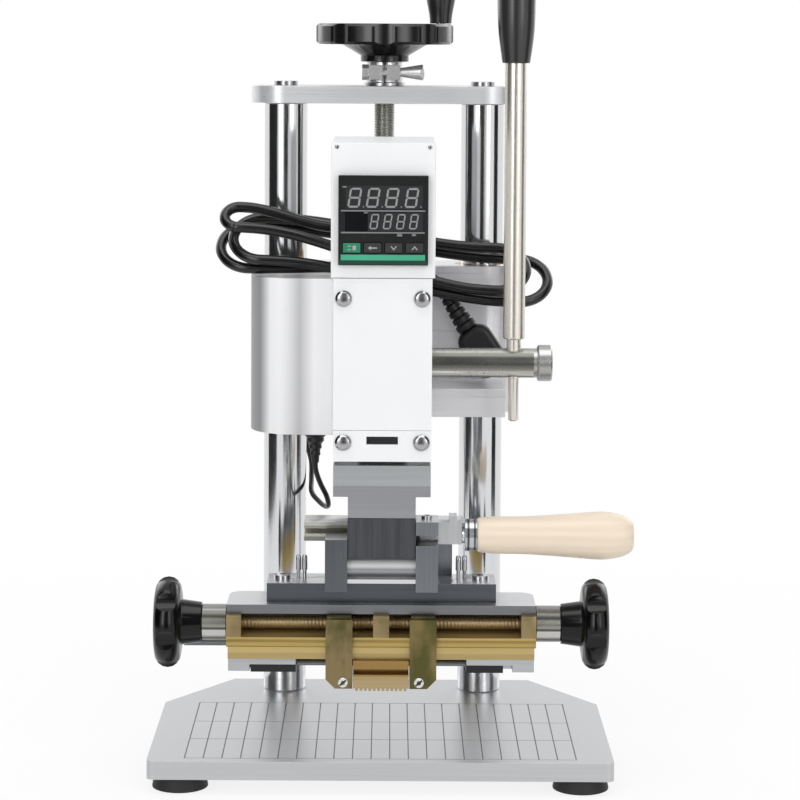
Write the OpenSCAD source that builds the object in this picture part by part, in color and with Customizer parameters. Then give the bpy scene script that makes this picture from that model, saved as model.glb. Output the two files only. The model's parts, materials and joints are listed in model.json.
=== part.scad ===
/* [Base] */
// Width of the base plate
base_w = 250; // [236:1:280]
// Depth of the base plate, front to back
base_d = 182; // [176:1:200]
// Thickness of the base plate
base_t = 10; // [9:0.5:14]
// Width of the base plate along its back edge
base_back_w = 176; // [164:1:210]
// Length of the straight sides, before they taper to the back
base_side = 125; // [110:1:140]
// Radius of the front corners
base_corner_r = 4; // [1:0.5:8]
// Diameter of a rubber foot where it stands
foot_d = 30.5; // [24:0.5:32]
// Height of a rubber foot
foot_h = 8; // [6:0.5:12]
// Distance from the base's side to a foot's centre
foot_inset = 17; // [17:0.5:22]
// Distance between the engraved lines
grid_pitch = 10; // [8:1:16]

/* [Columns] */
// Diameter of a column
col_d = 25; // [20:0.5:26]
// Distance between the two column axes
col_gap = 115; // [110:1:125]
// Distance from the column axes to the back edge of the base
col_back = 19; // [17:0.5:24]
// Height of the columns above the base plate
col_h = 347; // [345:1:380]
// Thickness of the top plate
top_t = 10; // [9:0.5:14]
// Width of the top plate and the carriage, front to back
yoke_d = 40; // [38:1:44]

/* [Lift] */
// Diameter of the lift screw
screw_d = 12; // [10:0.5:12]
// Diameter of the handwheel
wheel_d = 80; // [76:1:95]
// Thickness of the handwheel's rim
wheel_rim_t = 12; // [10:0.5:15]
// Number of finger recesses round the rim
wheel_lobes = 9; // [8:1:12]
// Height of the crank grip
crank_h = 52; // [46:1:60]
// Height of the carriage block
carriage_h = 86; // [84:1:90]

/* [Head] */
// Free height between the work face and the type
work_gap = 34.3; // [32.3:0.5:46.3]
// Width of the upper head case
case_w = 56; // [54:0.5:60]
// Height of the upper head case
case_h = 72.5; // [72:0.5:84]
// Distance from the column axes forward to the head's front face
head_front = 140; // [139:0.5:150]
// Width of the lower front cover
cover_w = 53; // [52:0.25:53.5]
// Height of the lower front cover above its bottom strip
cover_h = 82; // [81:0.5:88]
// Height of the bottom strip
strip_h = 17; // [15:0.5:19]
// Side of the controller's square bezel
bezel_w = 48; // [46:0.5:50]

/* [Lever] */
// Diameter of the lever shaft
shaft_d = 16.4; // [14:0.2:17]
// Number of teeth on the pinion
pinion_teeth = 22; // [22:1:22]
// Tooth module of the pinion and rack
gear_module = 1.5; // [1.5:0.1:1.5]
// Sideways distance of the lever from the middle
lever_x = 73; // [72:0.5:78]
// Length of the lever tube
lever_tube_h = 154; // [140:1:170]
// Length of the lever's grip
lever_grip_h = 85; // [75:1:100]

/* [Type carrier] */
// Width of the brass frame and the plates above and below it
frame_w = 167; // [160:1:174]
// Depth of the brass frame
frame_d = 36; // [34:0.5:40]
// Height of the channel that the jaws slide in
channel_h = 11.7; // [11:0.1:14]
// Width of a jaw strip
jaw_w = 14.4; // [12:0.2:16]
// Travel of a jaw
jaw_travel = 14; // [10:0.5:15]
// Width of the type holder between the jaws
holder_w = 30; // [26:0.5:34]
// Diameter of a side knob
knob_d = 49; // [44:1:52]
// Thickness of a side knob's rim
knob_rim_t = 14; // [12:0.5:16]
// Length of the wooden handle
wood_len = 85; // [75:1:100]

/* [Mains cord] */
// Diameter of the mains cord
cord_d = 6.2; // [5:0.1:6.4]
// Radius of the folds at the ends of the loops
fold_r = 17; // [16:0.5:18]
// Reach of the longest loop to the left of the middle
loop_left = 93.6; // [90:0.2:98]
// Reach of the longest loop to the right of the middle
loop_right = 94.5; // [90:0.5:98]

/* [Hidden] */
$fn = 72;

// Overrun of every cut, and the clearances of the fits
over = 0.5;
run_gap = 0.04;
slide_gap = 0.15;
seat_gap = 0.3;

// Base plate: engraving, feet and screws
col_y = base_d / 2 - col_back;
groove_w = 0.6;
groove_deep = 0.3;
groove_margin = 7;
grid_side = 20;
cross_share = [0, 0.33, 0.645, 1];
foot_taper = 3;
foot_top_d = foot_d - foot_taper;
foot_screw_r = 2.5;
foot_head_r = 4.8;
foot_head_h = 3;
foot_head_sink = 1;
foot_thread = 7;
rear_foot_in = 10;
rear_foot_back = 29;
feet = [for (side = [-1, 1]) each [[side * (base_w / 2 - foot_inset), foot_inset - base_d / 2],
    [side * (base_back_w / 2 - rear_foot_in), base_d / 2 - rear_foot_back]]];

// Columns, top plate and their screws
col_r = col_d / 2;
col_x = col_gap / 2;
col_chamfer = 0.6;
col_screw_r = 4;
col_screw_deep = 20;
base_head_r = 6.5;
base_head_h = 5;
base_head_sink = 0.5;
base_socket_r = 3.5;
cap_head_r = 7;
cap_head_h = 2.6;
cap_socket_r = 2.4;
yoke_r = yoke_d / 2;
top_z = col_h + top_t;
bush_wall = 3;
bush_flange_r = 12;
bush_flange_h = 2;

// Lift screw, collar, handwheel and crank
screw_r = screw_d / 2;
screw_bottom = 185;
screw_chamfer = 1;
collar_z = top_z + bush_flange_h + seat_gap;
collar_h = 11.5;
collar_r = 11;
collar_slit = 2.4;
ear_x = 9;
ear_y = 17;
ear_root = 9;
ear_margin = 1.6;
lock_y = 13.5;
lock_r = 2.5;
lock_nut_r = 4.6;
lock_nut_t = 4;
lock_gap = 0.1;
lock_handle_r = 4.6;
lock_handle_len = 14;
lock_tip = 1.2;
wheel_z = collar_z + collar_h + seat_gap;
wheel_r = wheel_d / 2;
hub_r = 14;
hub_neck_h = 3.5;
hub_cone_h = 6.6;
hub_cone_r = 25;
rim_round = 1.6;
rim_in_r = 26;
dish_deep = 1.6;
lobe_r = 15;
lobe_deep = 1.6;
rim_z = wheel_z + hub_neck_h + hub_cone_h;
wheel_top = rim_z + wheel_rim_t;
crank_x = wheel_r * 0.815;
crank_pin_r = 3;
crank_thread = 9;
crank_base_r = 6.3;
crank_mid_r = 9;
crank_max_r = 10;
crank_top_r = 6.6;
crank_shares = [0, 0.34, 0.6, 0.82, 0.95, 1];
crank_head_r = 4.4;
crank_head_h = 3;
crank_recess_r = 5.2;
crank_recess_h = 6;

// Heights of the moving stack, from the type upwards
slug_h = 1.7;
holder_h = 15;
holder_z = work_gap + slug_h;
lower_top = holder_z + holder_h;
lower_t = 7.5;
bright_h = 6.7;
brass_h = 5.3;
bright_z = lower_top;
brass_z = bright_z + bright_h;
channel_z = brass_z + brass_h;
slide_t = 5;
slide_z = channel_z + channel_h;
bridge_t = 10.3;
bridge_z = slide_z + slide_t;
bridge_top = bridge_z + bridge_t;
die_lift = 15;
die_h = 21.7;
die_z = bridge_top + die_lift;
neck_h = 11.6;
neck_z = die_z + die_h + seat_gap;
rail_h = 10.8;
rail_drop = 5.7;
rail_z = neck_z - rail_drop - rail_h;
slab_z = neck_z + neck_h;
slab_h = 6.1;
heater_z = slab_z + slab_h;
heater_h = 11;
heater_top = heater_z + heater_h;
head_gap = 2.3;
head_z = heater_top + head_gap;
strip_top = head_z + strip_h;
case_z = strip_top + cover_h;
case_top = case_z + case_h;
seam = 0.2;

// Carriage block, bushes and nut
carriage_lift = 9;
carriage_z = head_z + carriage_lift;
carriage_top = carriage_z + carriage_h;
yoke_half = col_x + yoke_r;
step_x0 = 27;
step_x1 = lever_x - 3.5;
step_y = 62;
step_lift = 4;
step_h = 16;
step_top = carriage_z + step_lift + step_h;
col_bush_wall = 3.5;
bush_r = col_r + col_bush_wall;
bush_len = 20;
relief_gap = 1.5;
relief_r = col_r + relief_gap;
nut_r = 11;
nut_len = 24;
nut_flange_r = 15;
nut_flange_h = 4;
screw_clear = 1.5;
screw_clear_r = screw_r + screw_clear;

// Left cover and relay
sheet_t = 1.5;
left_x0 = 76;
left_x1 = 27;
left_front = 60;
left_corner = 28;
left_small = 3;
left_lift = 2;
left_z = head_z + left_lift;
left_h = 89;
left_top = left_z + left_h;
boot_x = 38.5;
boot_y = 46;
boot_hole_r = 5;
relay_x = [-68, -40];
relay_front = 44;
relay_base_t = 4;
relay_h = 45;
relay_lift = 25;
relay_inset = 4;

// Head case, covers and controller
case_half = case_w / 2;
case_rear = 56;
cover_half = cover_w / 2;
cover_t = 1.2;
cover_rear = case_rear + sheet_t + seam;
tail_half = 24;
guide_top_lift = 47;
window_half = 8.5;
window_low = 9.3;
window_high = 13.6;
cover_screw_x = 21;
cover_screw_drop = 11;
cover_screw_z = case_z - cover_screw_drop;
strip_screw_lift = 10.4;
strip_screw_z = head_z + strip_screw_lift;
cover_head_r = 4.5;
cover_head_h = 2.6;
cover_shank_r = 2;
case_screw_in = 3.2;
case_screw_x = case_half - case_screw_in;
case_screw_drop = 2.2;
case_screw_z = case_top - case_screw_drop;
case_head_r = 1.2;
case_head_h = 0.6;
case_shank_r = 0.6;
case_shank = 3;
bezel_half = bezel_w / 2;
bezel_t = 4;
bezel_lift = 7.25;
bezel_z = case_z + bezel_lift;
bezel_lip = 1.7;
body_half = bezel_half - bezel_lip;
body_len = 76;
display_half = 20.5;
display_low = 17;
display_high = 42.6;
display_t = 1;
key_w = 9.4;
key_h = 5.1;
key_pitch = 11.2;
key_low = 6.8;
key_gap = 0.15;
key_proud = 0.6;
key_len = 2.8;
key_pocket = 3.6;

// Lever shaft, pinion and rack
shaft_r = shaft_d / 2;
shaft_lift = 46.6;
shaft_z = head_z + shaft_lift;
rack_set = 41.5;
rack_line = head_front - rack_set;
pitch_r = gear_module * pinion_teeth / 2;
shaft_y = -(rack_line - pitch_r);
pressure = 20;
tooth_play = 0.15;
tip_ratio = 0.9;
root_ratio = 1.25;
rack_pitch = PI * gear_module;
rack_root = rack_line + root_ratio * gear_module;
rack_low = -2;
rack_high = 8;
pinion_half = 8;
shaft_left = 25;
cap_gap = 12.5;
cap_x = lever_x + cap_gap;
cap_len = 8.7;
cap_rim = 1.95;
cap_r = shaft_r + cap_rim;
cap_seam = 0.6;
cap_round = 0.8;
neck_r = 4;
stub_r = 2.95;
tube_r = 6.1;
stub_low = 32.6;
tube_lift = 13.4;
tube_z = shaft_z + tube_lift;
tube_chamfer = 0.8;
grip_z = tube_z + lever_tube_h;
grip_core = 68;
grip_base_r = 8;
grip_mid_r = 10.25;
grip_max_r = 10.8;
grip_end_r = 5;
grip_shares = [0, 0.02, 0.25, 0.6, 0.9, 0.97, 1];

// Ram, guide and return springs
ram_half = 13;
ram_set = 16;
ram_front = head_front - ram_set;
ram_over = 2;
ram_top = case_z + ram_over;
arm_h = 5;
arm_half = 23.5;
arm_set = 7;
arm_d = 12;
arm_y = [-(ram_front - arm_set), -(ram_front - arm_set - arm_d)];
guide_half = 24;
guide_wall = 6;
guide_front = ram_front + guide_wall;
guide_z = strip_top;
guide_top = guide_z + guide_top_lift;
rack_room = 1;
pinion_room = 1.3;
shaft_bush_wall = 2.3;
shaft_bush_r = shaft_r + shaft_bush_wall;
shaft_flange_w = 1.5;
shaft_flange_r = shaft_bush_r + shaft_flange_w;
shaft_flange_t = 1;
cheek_x = 15;
post_x = 17;
post_deep = 9;
post_lift = 4;
post_low = head_z + post_lift;
post_drop = 5;
post_top = case_z - post_drop;
boss_r = 4;
bolt_x = 15;
bolt_share = [0.21, 0.79];
bolt_r = 3;
bolt_head_r = 5;
bolt_head_h = 5;
bolt_thread = 14;
spring_x = 19;
spring_y = (arm_y[0] + arm_y[1]) / 2;
spring_r = 3.1;
spring_wire_r = 0.45;
spring_turns = 9;
spring_seat = 13;
spring_low = guide_z + spring_seat;
spring_hole_r = 3.8;

// Heater, rail and die block
heater_half = 26.3;
heater_set = 1;
heater_front = head_front - heater_set;
heater_rear = 98;
neck_half = 18.3;
cartridge_r = 4;
cartridge_x = 12;
cartridge_lift = 5.5;
cartridge_z = heater_z + cartridge_lift;
cartridge_front = 134;
cartridge_rear = 95;
probe_r = 1.5;
die_half = 18.5;
die_rear = 118.3;
rail_front = die_rear - seat_gap;
rail_left = 42.5;
rail_right = 45;
tongue_lift = 4.2;
tongue_z = rail_z + tongue_lift;
tongue_h = 2.6;
tongue_deep = 4.5;
head_extra = 2;
head_deep = 3.6;

// Type carrier
upright_t = 12;
upright_out = die_half + upright_t;
upright_out_y = 2;
upright_front = heater_front + upright_out_y;
upright_back = 0.1;
upright_rear = die_rear + upright_back;
upright_lip = 3;
left_upright_h = 25.7;
right_upright_h = 22.4;
cross_r = 6.2;
cross_set = 8.2;
cross_y = -(head_front - cross_set);
cross_lift = 8.5;
cross_z = bridge_top + cross_lift;
clamp_lift = 28.1;
clamp_h = 7.3;
clamp_z = bridge_top + clamp_lift;
clamp_rear = 119;
stay_w = 8.3;
stay_t = 4;
stay_h = 20;
block_x = 43.5;
block_y = [-129, -118.7];
block_lift = 21.2;
block_z = bridge_top + block_lift;
block_h = 11.9;
lug_x = [36.6, 40.9];
lug_h = 3.5;
rod_y = -126;
rod_lift = 25.9;
rod_z = bridge_top + rod_lift;
rod_r = 2.35;
rod_drop = 1;
rod_gap = 2;
rod_start = die_half + rod_gap;
end_nut_r = 3.6;
end_nut_t = 1.5;
ferrule_r = 8.7;
ferrule_len = 7;
ferrule_x = block_x + end_nut_t;
tang_r = 3;
tang_len = 43;
wood_x = ferrule_x + ferrule_len;
wood_r = [8.6, 9.45, 10.1, 10.3, 11.4, 12.8, 12.85, 11.4, 8.6, 7.4];
wood_shares = [0, 0.02, 0.12, 0.3, 0.52, 0.74, 0.82, 0.92, 0.985, 1];
bridge_half = 62.2;
bridge_set = 8;
bridge_front = head_front - bridge_set;
bridge_rear = 105;
frame_half = frame_w / 2;
slide_set = 1;
slide_front = head_front - slide_set;
slide_rear = 104;
slide_corner = 8;
frame_out = 4;
frame_front = head_front + frame_out;
frame_rear = frame_front - frame_d;
frame_end = 8;
frame_post = 4.3;
frame_back_t = 4;
bright_inset = 0.8;
lower_front = head_front;
lower_rear = frame_rear;
lower_step_x = 71;
lower_step_h = 3.5;
lower_step_d = 8;
lower_slot_x = 46;
lower_slot_d = 24;
strip_drop = 0.4;
strip_left = 70.5;
strip_right = 66;
strip_front = lower_front;
strip_back_t = 3.5;
holder_half = holder_w / 2;
holder_out = 3;
holder_front = frame_front + holder_out;
holder_rear = 128;
slit_low = 7.5;
slit_h = 2.9;
slit_deep = 6;
slug_count = 12;
slug_w = 1.5;
slug_set = 1.5;
slug_front = holder_front - slug_set;
slug_back = 2;
slug_rear = holder_rear + slug_back;
guide_rod_r = 1.5;
guide_rod_y = -124;
guide_rod_drop = 6.5;
guide_rod_z = lower_top - guide_rod_drop;
stop_rod_r = 2.35;
stop_rod_x = [-108.5, -60];
stop_rod_y = -113;
stop_rod_lift = 2.5;
stop_rod_z = bright_z + stop_rod_lift;
cap_screw_x = 54;
cap_screw_y = -118;
cap_screw_r = 4.8;
cap_screw_h = 2.2;
cap_thread_r = 2.5;
clamp_screw_r = 3;
clamp_screw_h = 1.6;
clamp_thread_r = 2.5;
clamp_screw_y = -129;
post_pin_x = [42, 45.4];
post_pin_y = -119;
pin_r = 1.1;
pin_h = 13;
sleeve_r = 1.55;
sleeve_z = [5, 10];
pin_head_r = 1.5;

// Jaws and side knobs
jaw_play = 0.4;
jaw_x = holder_half + jaw_play;
jaw_strip_t = 3.7;
jaw_gap = 0.35;
jaw_back = frame_front + jaw_gap;
jaw_front = jaw_back + jaw_strip_t;
jaw_lift = 1.8;
jaw_low = work_gap + jaw_lift;
jaw_under = 1.2;
jaw_top = slide_z - jaw_under;
jaw_chamfer = 5;
slider_inset = 0.7;
slider_gap = 0.25;
slider_out = 1;
slider_rear = frame_rear + frame_back_t + slider_out;
pad_lift = 2;
pad_low = jaw_low + pad_lift;
pad_gap = 0.4;
pad_rear = 120.5;
jaw_screw_r = 2.6;
jaw_screw_h = 1.5;
jaw_screw_lift = 3.5;
jaw_screw_share = 0.35;
knob_set = 18;
knob_y = -(frame_front - knob_set);
knob_lift = 4.2;
knob_z = channel_z + knob_lift;
lead_r = 3.5;
lead_end = 1;
shaft_big_r = 9.8;
knob_hub_x = 97.7;
knob_hub_r = 10.8;
knob_flange_r = 12.3;
knob_rim_x = 109;
knob_r = knob_d / 2;
knob_core_r = 5;
knob_core = 17;
knob_lobes = 7;
knob_lobe_r = 9;
knob_lobe_deep = 2.6;

// Mains cord: tilt and step of the loops, their folds, and the tail's route
cord_r = cord_d / 2;
cord_sides = 6;
fold_steps = 8;
run_steps = 4;
loop_tilt = 41;
loop_step_y = 5.5;
loop_step_z = 5.3;
left_share = [0.97, 0.92, 1];
left_r_share = [0.48, 1, 1];
right_share = [0.865, 1];
left_fold_y = -40.9;
fold_lift = 22;
left_fold_z = carriage_top + fold_lift;
first_lift = 7.4;
right_fold_y = -36.9;
right_fold_z = carriage_top;
right_step_z = 7;
gland_x = -2;
gland_y = -31;
gland_nut_r = 8;
gland_nut_h = 4;
gland_low_r = 5;
gland_top_r = 3.5;
gland_h = 20;
gland_z = guide_top + gland_nut_h + gland_h;
bend_r = 24;
bend_steps = 5;
tail_points = [[2, -38, 254.5], [6, -38, 254.5], [11, -38, 254.5], [16.5, -38, 253.8],
    [22, -38, 251.8], [27, -38, 248.6], [30.6, -38, 245], [34, -38, 240.3]];
tail_sides = 12;
plug_tilt = 34;
plug_sleeve = 26;
plug_sleeve_r = 6.2;
plug_len = 31;
plug_w = 21;
plug_t = 14;
plug_round = 4;
blade_w = 6.3;
blade_t = 1.6;
blade_len = 16;
blade_x = 5.6;
blade_drop = 19;
blade_angle = 30;
lead_tube_r = 1.5;
lead_sides = 8;
lead_points = [[-38.5, -46, 142], [-38, -46, 137], [-35.5, -46, 130], [-32, -44.5, 122.5],
    [-31, -40, 116.5], [-33, -31, 114], [-37, -20, 115], [-41.5, -9, 118.5],
    [-42, 2, 125], [-42.5, 11, 134], [-46, 16.5, 145], [-48, 17, 156], [-48, 17, 167]];
boot_r = 6.5;
boot_tip_r = 2;
boot_len = 18;

// Shapes that repeat
module bar(x, y, z)
    translate([x[0], y[0], z[0]]) cube([x[1] - x[0], y[1] - y[0], z[1] - z[0]]);

module rod_x(r, x, y, z)
    translate([x[0], y, z]) rotate([0, 90, 0]) cylinder(h = x[1] - x[0], r = r);

module rod_y(r, x, y, z)
    translate([x, y[0], z]) rotate([-90, 0, 0]) cylinder(h = y[1] - y[0], r = r);

module rod_z(r, x, y, z)
    translate([x, y, z[0]]) cylinder(h = z[1] - z[0], r = r);

module at_columns()
    translate([0, col_y, 0]) children();

module both_sides()
    for (side = [0, 1]) mirror([side, 0, 0]) children();

module turned(profile)
    rotate_extrude() polygon(profile);

module stadium(half_gap, r, z) {
    bar([-half_gap, half_gap], [-r, r], z);
    both_sides() rod_z(r, half_gap, 0, z);
}

// Tube swept along points, its rings square to the path
function unit(v) = v / norm(v);
function tangent(p, i) = unit(p[min(i + 1, len(p) - 1)] - p[max(i - 1, 0)]);
function ring(p, i, r, sides, ref) =
    let (t = tangent(p, i), u = unit(cross(t, ref)), v = cross(t, u))
    [for (k = [0:sides - 1]) p[i] + r * (cos(360 * k / sides) * u + sin(360 * k / sides) * v)];

module tube(p, r, sides, ref) {
    rings = [for (i = [0:len(p) - 1]) each ring(p, i, r, sides, ref)];
    last = (len(p) - 1) * sides;
    walls = [for (i = [0:len(p) - 2], k = [0:sides - 1])
        let (a = i * sides + k, b = i * sides + (k + 1) % sides)
        each [[a, b + sides, b], [a, a + sides, b + sides]]];
    caps = [for (k = [1:sides - 2]) each [[0, k, k + 1], [last, last + k + 1, last + k]]];
    polyhedron(points = rings, faces = concat(walls, caps), convexity = 10);
}

// Base plate with its engraved grid
module base_plate() {
    half = base_w / 2;
    front = -base_d / 2;
    side_end = front + base_side;
    grid_front = front + groove_margin;
    grid_half = half - grid_side;
    lines = floor(2 * grid_half / grid_pitch) + 1;
    grooves = [-groove_deep, over];
    color("silver") difference() {
        union() {
            translate([0, 0, -base_t]) linear_extrude(base_t) polygon([
                [base_corner_r - half, front], [half - base_corner_r, front],
                [half, front + base_corner_r], [half, side_end], [base_back_w / 2, base_d / 2],
                [-base_back_w / 2, base_d / 2], [-half, side_end], [-half, front + base_corner_r]]);
            both_sides() rod_z(base_corner_r, half - base_corner_r, front + base_corner_r, [-base_t, 0]);
        }
        for (i = [0:lines - 1]) let (x = (i - (lines - 1) / 2) * grid_pitch)
            bar([x - groove_w / 2, x + groove_w / 2], [grid_front, side_end], grooves);
        for (share = cross_share) let (y = grid_front + share * (side_end - grid_front))
            bar([-grid_half, grid_half], [y - groove_w / 2, y + groove_w / 2], grooves);
        for (f = feet)
            rod_z(foot_screw_r, f[0], f[1], [-base_t - over, foot_thread - base_t]);
        at_columns() both_sides() {
            rod_z(col_screw_r, col_x, 0, [-base_t - over, over]);
            rod_z(base_head_r + seat_gap, col_x, 0,
                [-base_t - over, base_head_h + base_head_sink - base_t]);
        }
    }
}

module rubber_feet()
    color("dimgray") for (f = feet) translate([f[0], f[1], -base_t - foot_h]) difference() {
        cylinder(h = foot_h, d1 = foot_d, d2 = foot_top_d);
        rod_z(foot_screw_r, 0, 0, [-over, foot_h + over]);
        rod_z(foot_head_r + seat_gap, 0, 0, [-over, foot_head_h + foot_head_sink]);
    }

module socket_screw(head_r, head_h, r, len, socket_r)
    difference() {
        union() {
            cylinder(h = head_h, r = head_r);
            rod_z(r, 0, 0, [-len, over]);
        }
        translate([0, 0, head_h / 2]) cylinder(h = head_h, r = socket_r, $fn = 6);
    }

module frame_screws()
    color("gainsboro") {
        for (f = feet) translate([f[0], f[1], foot_head_h + foot_head_sink - foot_h - base_t])
            mirror([0, 0, 1]) socket_screw(foot_head_r, foot_head_h, foot_screw_r,
                foot_h - foot_head_h - foot_head_sink + foot_thread, foot_screw_r);
        at_columns() both_sides() {
            translate([col_x, 0, base_head_h + base_head_sink - base_t]) mirror([0, 0, 1])
                socket_screw(base_head_r, base_head_h, col_screw_r,
                    base_t - base_head_h - base_head_sink + col_screw_deep, base_socket_r);
            translate([col_x, 0, top_z])
                socket_screw(cap_head_r, cap_head_h, col_screw_r, top_t + col_screw_deep, cap_socket_r);
        }
    }

module columns()
    color("whitesmoke") at_columns() both_sides() translate([col_x, 0, 0]) turned([
        [0, col_screw_deep], [col_screw_r, col_screw_deep], [col_screw_r, 0],
        [col_r - col_chamfer, 0], [col_r, col_chamfer], [col_r, col_h - col_chamfer],
        [col_r - col_chamfer, col_h], [col_screw_r, col_h],
        [col_screw_r, col_h - col_screw_deep], [0, col_h - col_screw_deep]]);

module top_plate()
    color("lightgray") at_columns() difference() {
        stadium(col_x, yoke_r, [col_h, top_z]);
        rod_z(screw_r + bush_wall, 0, 0, [col_h - over, top_z + over]);
        both_sides() rod_z(col_screw_r, col_x, 0, [col_h - over, top_z + over]);
    }

module screw_bush()
    color("darkgoldenrod") at_columns() translate([0, 0, col_h]) turned([
        [screw_r + run_gap, 0], [screw_r + bush_wall, 0], [screw_r + bush_wall, top_t],
        [bush_flange_r, top_t], [bush_flange_r, top_t + bush_flange_h],
        [screw_r + run_gap, top_t + bush_flange_h]]);

// Handwheel with its crank, the lift screw and the lock collar
module handwheel()
    color([0.08, 0.08, 0.08]) at_columns() translate([0, 0, wheel_z]) difference() {
        turned([[screw_r, 0], [hub_r, 0], [hub_r, hub_neck_h], [hub_cone_r, rim_z - wheel_z],
            [wheel_r - rim_round, rim_z - wheel_z], [wheel_r, rim_z - wheel_z + rim_round],
            [wheel_r, wheel_top - wheel_z - rim_round], [wheel_r - rim_round, wheel_top - wheel_z],
            [rim_in_r, wheel_top - wheel_z], [rim_in_r - dish_deep, wheel_top - wheel_z - dish_deep],
            [screw_r, wheel_top - wheel_z - dish_deep]]);
        for (i = [0:wheel_lobes - 1]) rotate(i * 360 / wheel_lobes - 90)
            rod_z(lobe_r, wheel_r + lobe_r - lobe_deep, 0, [0, wheel_top - wheel_z + over]);
        rod_z(crank_pin_r, crank_x, 0, [wheel_top - wheel_z - crank_thread, wheel_top]);
    }

module lift_screw()
    color("silver") at_columns() turned([[0, screw_bottom], [screw_r - screw_chamfer, screw_bottom],
        [screw_r, screw_bottom + screw_chamfer], [screw_r, wheel_top - dish_deep - screw_chamfer],
        [screw_r - screw_chamfer, wheel_top - dish_deep], [0, wheel_top - dish_deep]]);

module crank_pin()
    color("silver") at_columns() {
        head_z = wheel_top + seat_gap + crank_h - crank_recess_h + seat_gap;
        rod_z(crank_pin_r, crank_x, 0, [wheel_top - crank_thread, head_z]);
        rod_z(crank_head_r, crank_x, 0, [head_z, head_z + crank_head_h]);
    }

module crank_grip()
    color([0.1, 0.1, 0.1]) at_columns() translate([crank_x, 0, wheel_top + seat_gap]) {
        radii = [crank_base_r, crank_mid_r, crank_max_r, crank_max_r, crank_mid_r, crank_top_r];
        turned(concat([for (i = [0:len(radii) - 1]) [radii[i], crank_shares[i] * crank_h]],
            [[crank_recess_r, crank_h], [crank_recess_r, crank_h - crank_recess_h],
            [crank_pin_r + run_gap, crank_h - crank_recess_h], [crank_pin_r + run_gap, 0]]));
    }

module lock_collar()
    color("gainsboro") at_columns() difference() {
        union() {
            rod_z(collar_r, 0, 0, [collar_z, collar_z + collar_h]);
            bar([-ear_x, ear_x], [-ear_y, -ear_root],
                [collar_z + ear_margin, collar_z + collar_h - ear_margin]);
        }
        rod_z(screw_r, 0, 0, [collar_z - over, collar_z + collar_h + over]);
        bar([-collar_slit / 2, collar_slit / 2], [-ear_y - over, 0],
            [collar_z - over, collar_z + collar_h + over]);
        rod_x(lock_r + run_gap, [-ear_x - over, ear_x + over], -lock_y, collar_z + collar_h / 2);
    }

module lock_screw()
    color("gainsboro") at_columns() translate([0, -lock_y, collar_z + collar_h / 2]) {
        rod_x(lock_r, [-ear_x - lock_gap, ear_x + lock_gap], 0, 0);
        translate([-ear_x - lock_gap - lock_nut_t, 0, 0]) rotate([0, 90, 0])
            cylinder(h = lock_nut_t, r = lock_nut_r, $fn = 6);
        translate([ear_x + lock_gap, 0, 0]) rotate([0, 90, 0]) turned([[0, 0], [lock_r, 0],
            [lock_handle_r, lock_handle_len - lock_tip], [lock_handle_r - lock_tip, lock_handle_len],
            [0, lock_handle_len]]);
    }

// Carriage with its bushes, nut, left cover and relay
module carriage_block()
    color("lightgray") at_columns() difference() {
        union() {
            stadium(col_x, yoke_r, [carriage_z, carriage_top]);
            bar([step_x0, step_x1], [-step_y, 0], [step_top - step_h, step_top]);
        }
        both_sides() {
            rod_z(relief_r, col_x, 0, [carriage_z - over, carriage_top + over]);
            rod_z(bush_r, col_x, 0, [carriage_z - over, carriage_z + bush_len]);
            rod_z(bush_r, col_x, 0, [carriage_top - bush_len, carriage_top + over]);
            for (share = bolt_share) let (z = guide_z + share * guide_top_lift) {
                rod_y(bolt_r, bolt_x, [-yoke_r - over, yoke_r + over], z);
                rod_y(bolt_head_r + slide_gap, bolt_x, [yoke_r - bolt_head_h, yoke_r + over], z);
            }
        }
        rod_z(screw_clear_r, 0, 0, [carriage_z - over, carriage_top + over]);
        rod_z(nut_r, 0, 0, [carriage_top - nut_len, carriage_top + over]);
    }

module bronze_bushes()
    color("darkgoldenrod") at_columns() {
        both_sides() for (z = [carriage_z, carriage_top - bush_len])
            translate([col_x, 0, z]) turned([[col_r + run_gap, 0], [bush_r, 0],
                [bush_r, bush_len], [col_r + run_gap, bush_len]]);
        both_sides() translate([cheek_x, shaft_y, shaft_z]) rotate([0, 90, 0]) turned([
            [shaft_r + run_gap, 0], [shaft_bush_r, 0], [shaft_bush_r, guide_half - cheek_x],
            [shaft_flange_r, guide_half - cheek_x], [shaft_flange_r, guide_half - cheek_x + shaft_flange_t],
            [shaft_r + run_gap, guide_half - cheek_x + shaft_flange_t]]);
    }

module lift_nut()
    color("goldenrod") at_columns() translate([0, 0, carriage_top]) turned([
        [screw_r + run_gap, -nut_len], [nut_r, -nut_len], [nut_r, 0], [nut_flange_r, 0],
        [nut_flange_r, nut_flange_h], [screw_r + run_gap, nut_flange_h]]);

module left_outline(inset, rear) {
    x0 = -left_x0 + inset;
    x1 = -left_x1 - inset;
    front = -left_front + inset;
    r = left_corner - inset;
    small = max(left_small - inset, run_gap);
    intersection() {
        union() {
            polygon([[x0, front + r], [x0 + r, front], [x1 - small, front], [x1, front + small],
                [x1, rear], [x0, rear]]);
            translate([x0 + r, front + r]) circle(r = r);
            translate([x1 - small, front + small]) circle(r = small);
        }
        translate([x0, front]) square([x1 - x0, rear - front]);
    }
}

module left_cover()
    color("whitesmoke") at_columns() difference() {
        translate([0, 0, left_z]) linear_extrude(left_top - left_z) left_outline(0, -yoke_r);
        translate([0, 0, left_z + sheet_t]) linear_extrude(left_top - left_z - 2 * sheet_t)
            left_outline(sheet_t, over - yoke_r);
        rod_z(boot_hole_r, -boot_x, -boot_y, [left_z - over, left_z + sheet_t + over]);
    }

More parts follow.
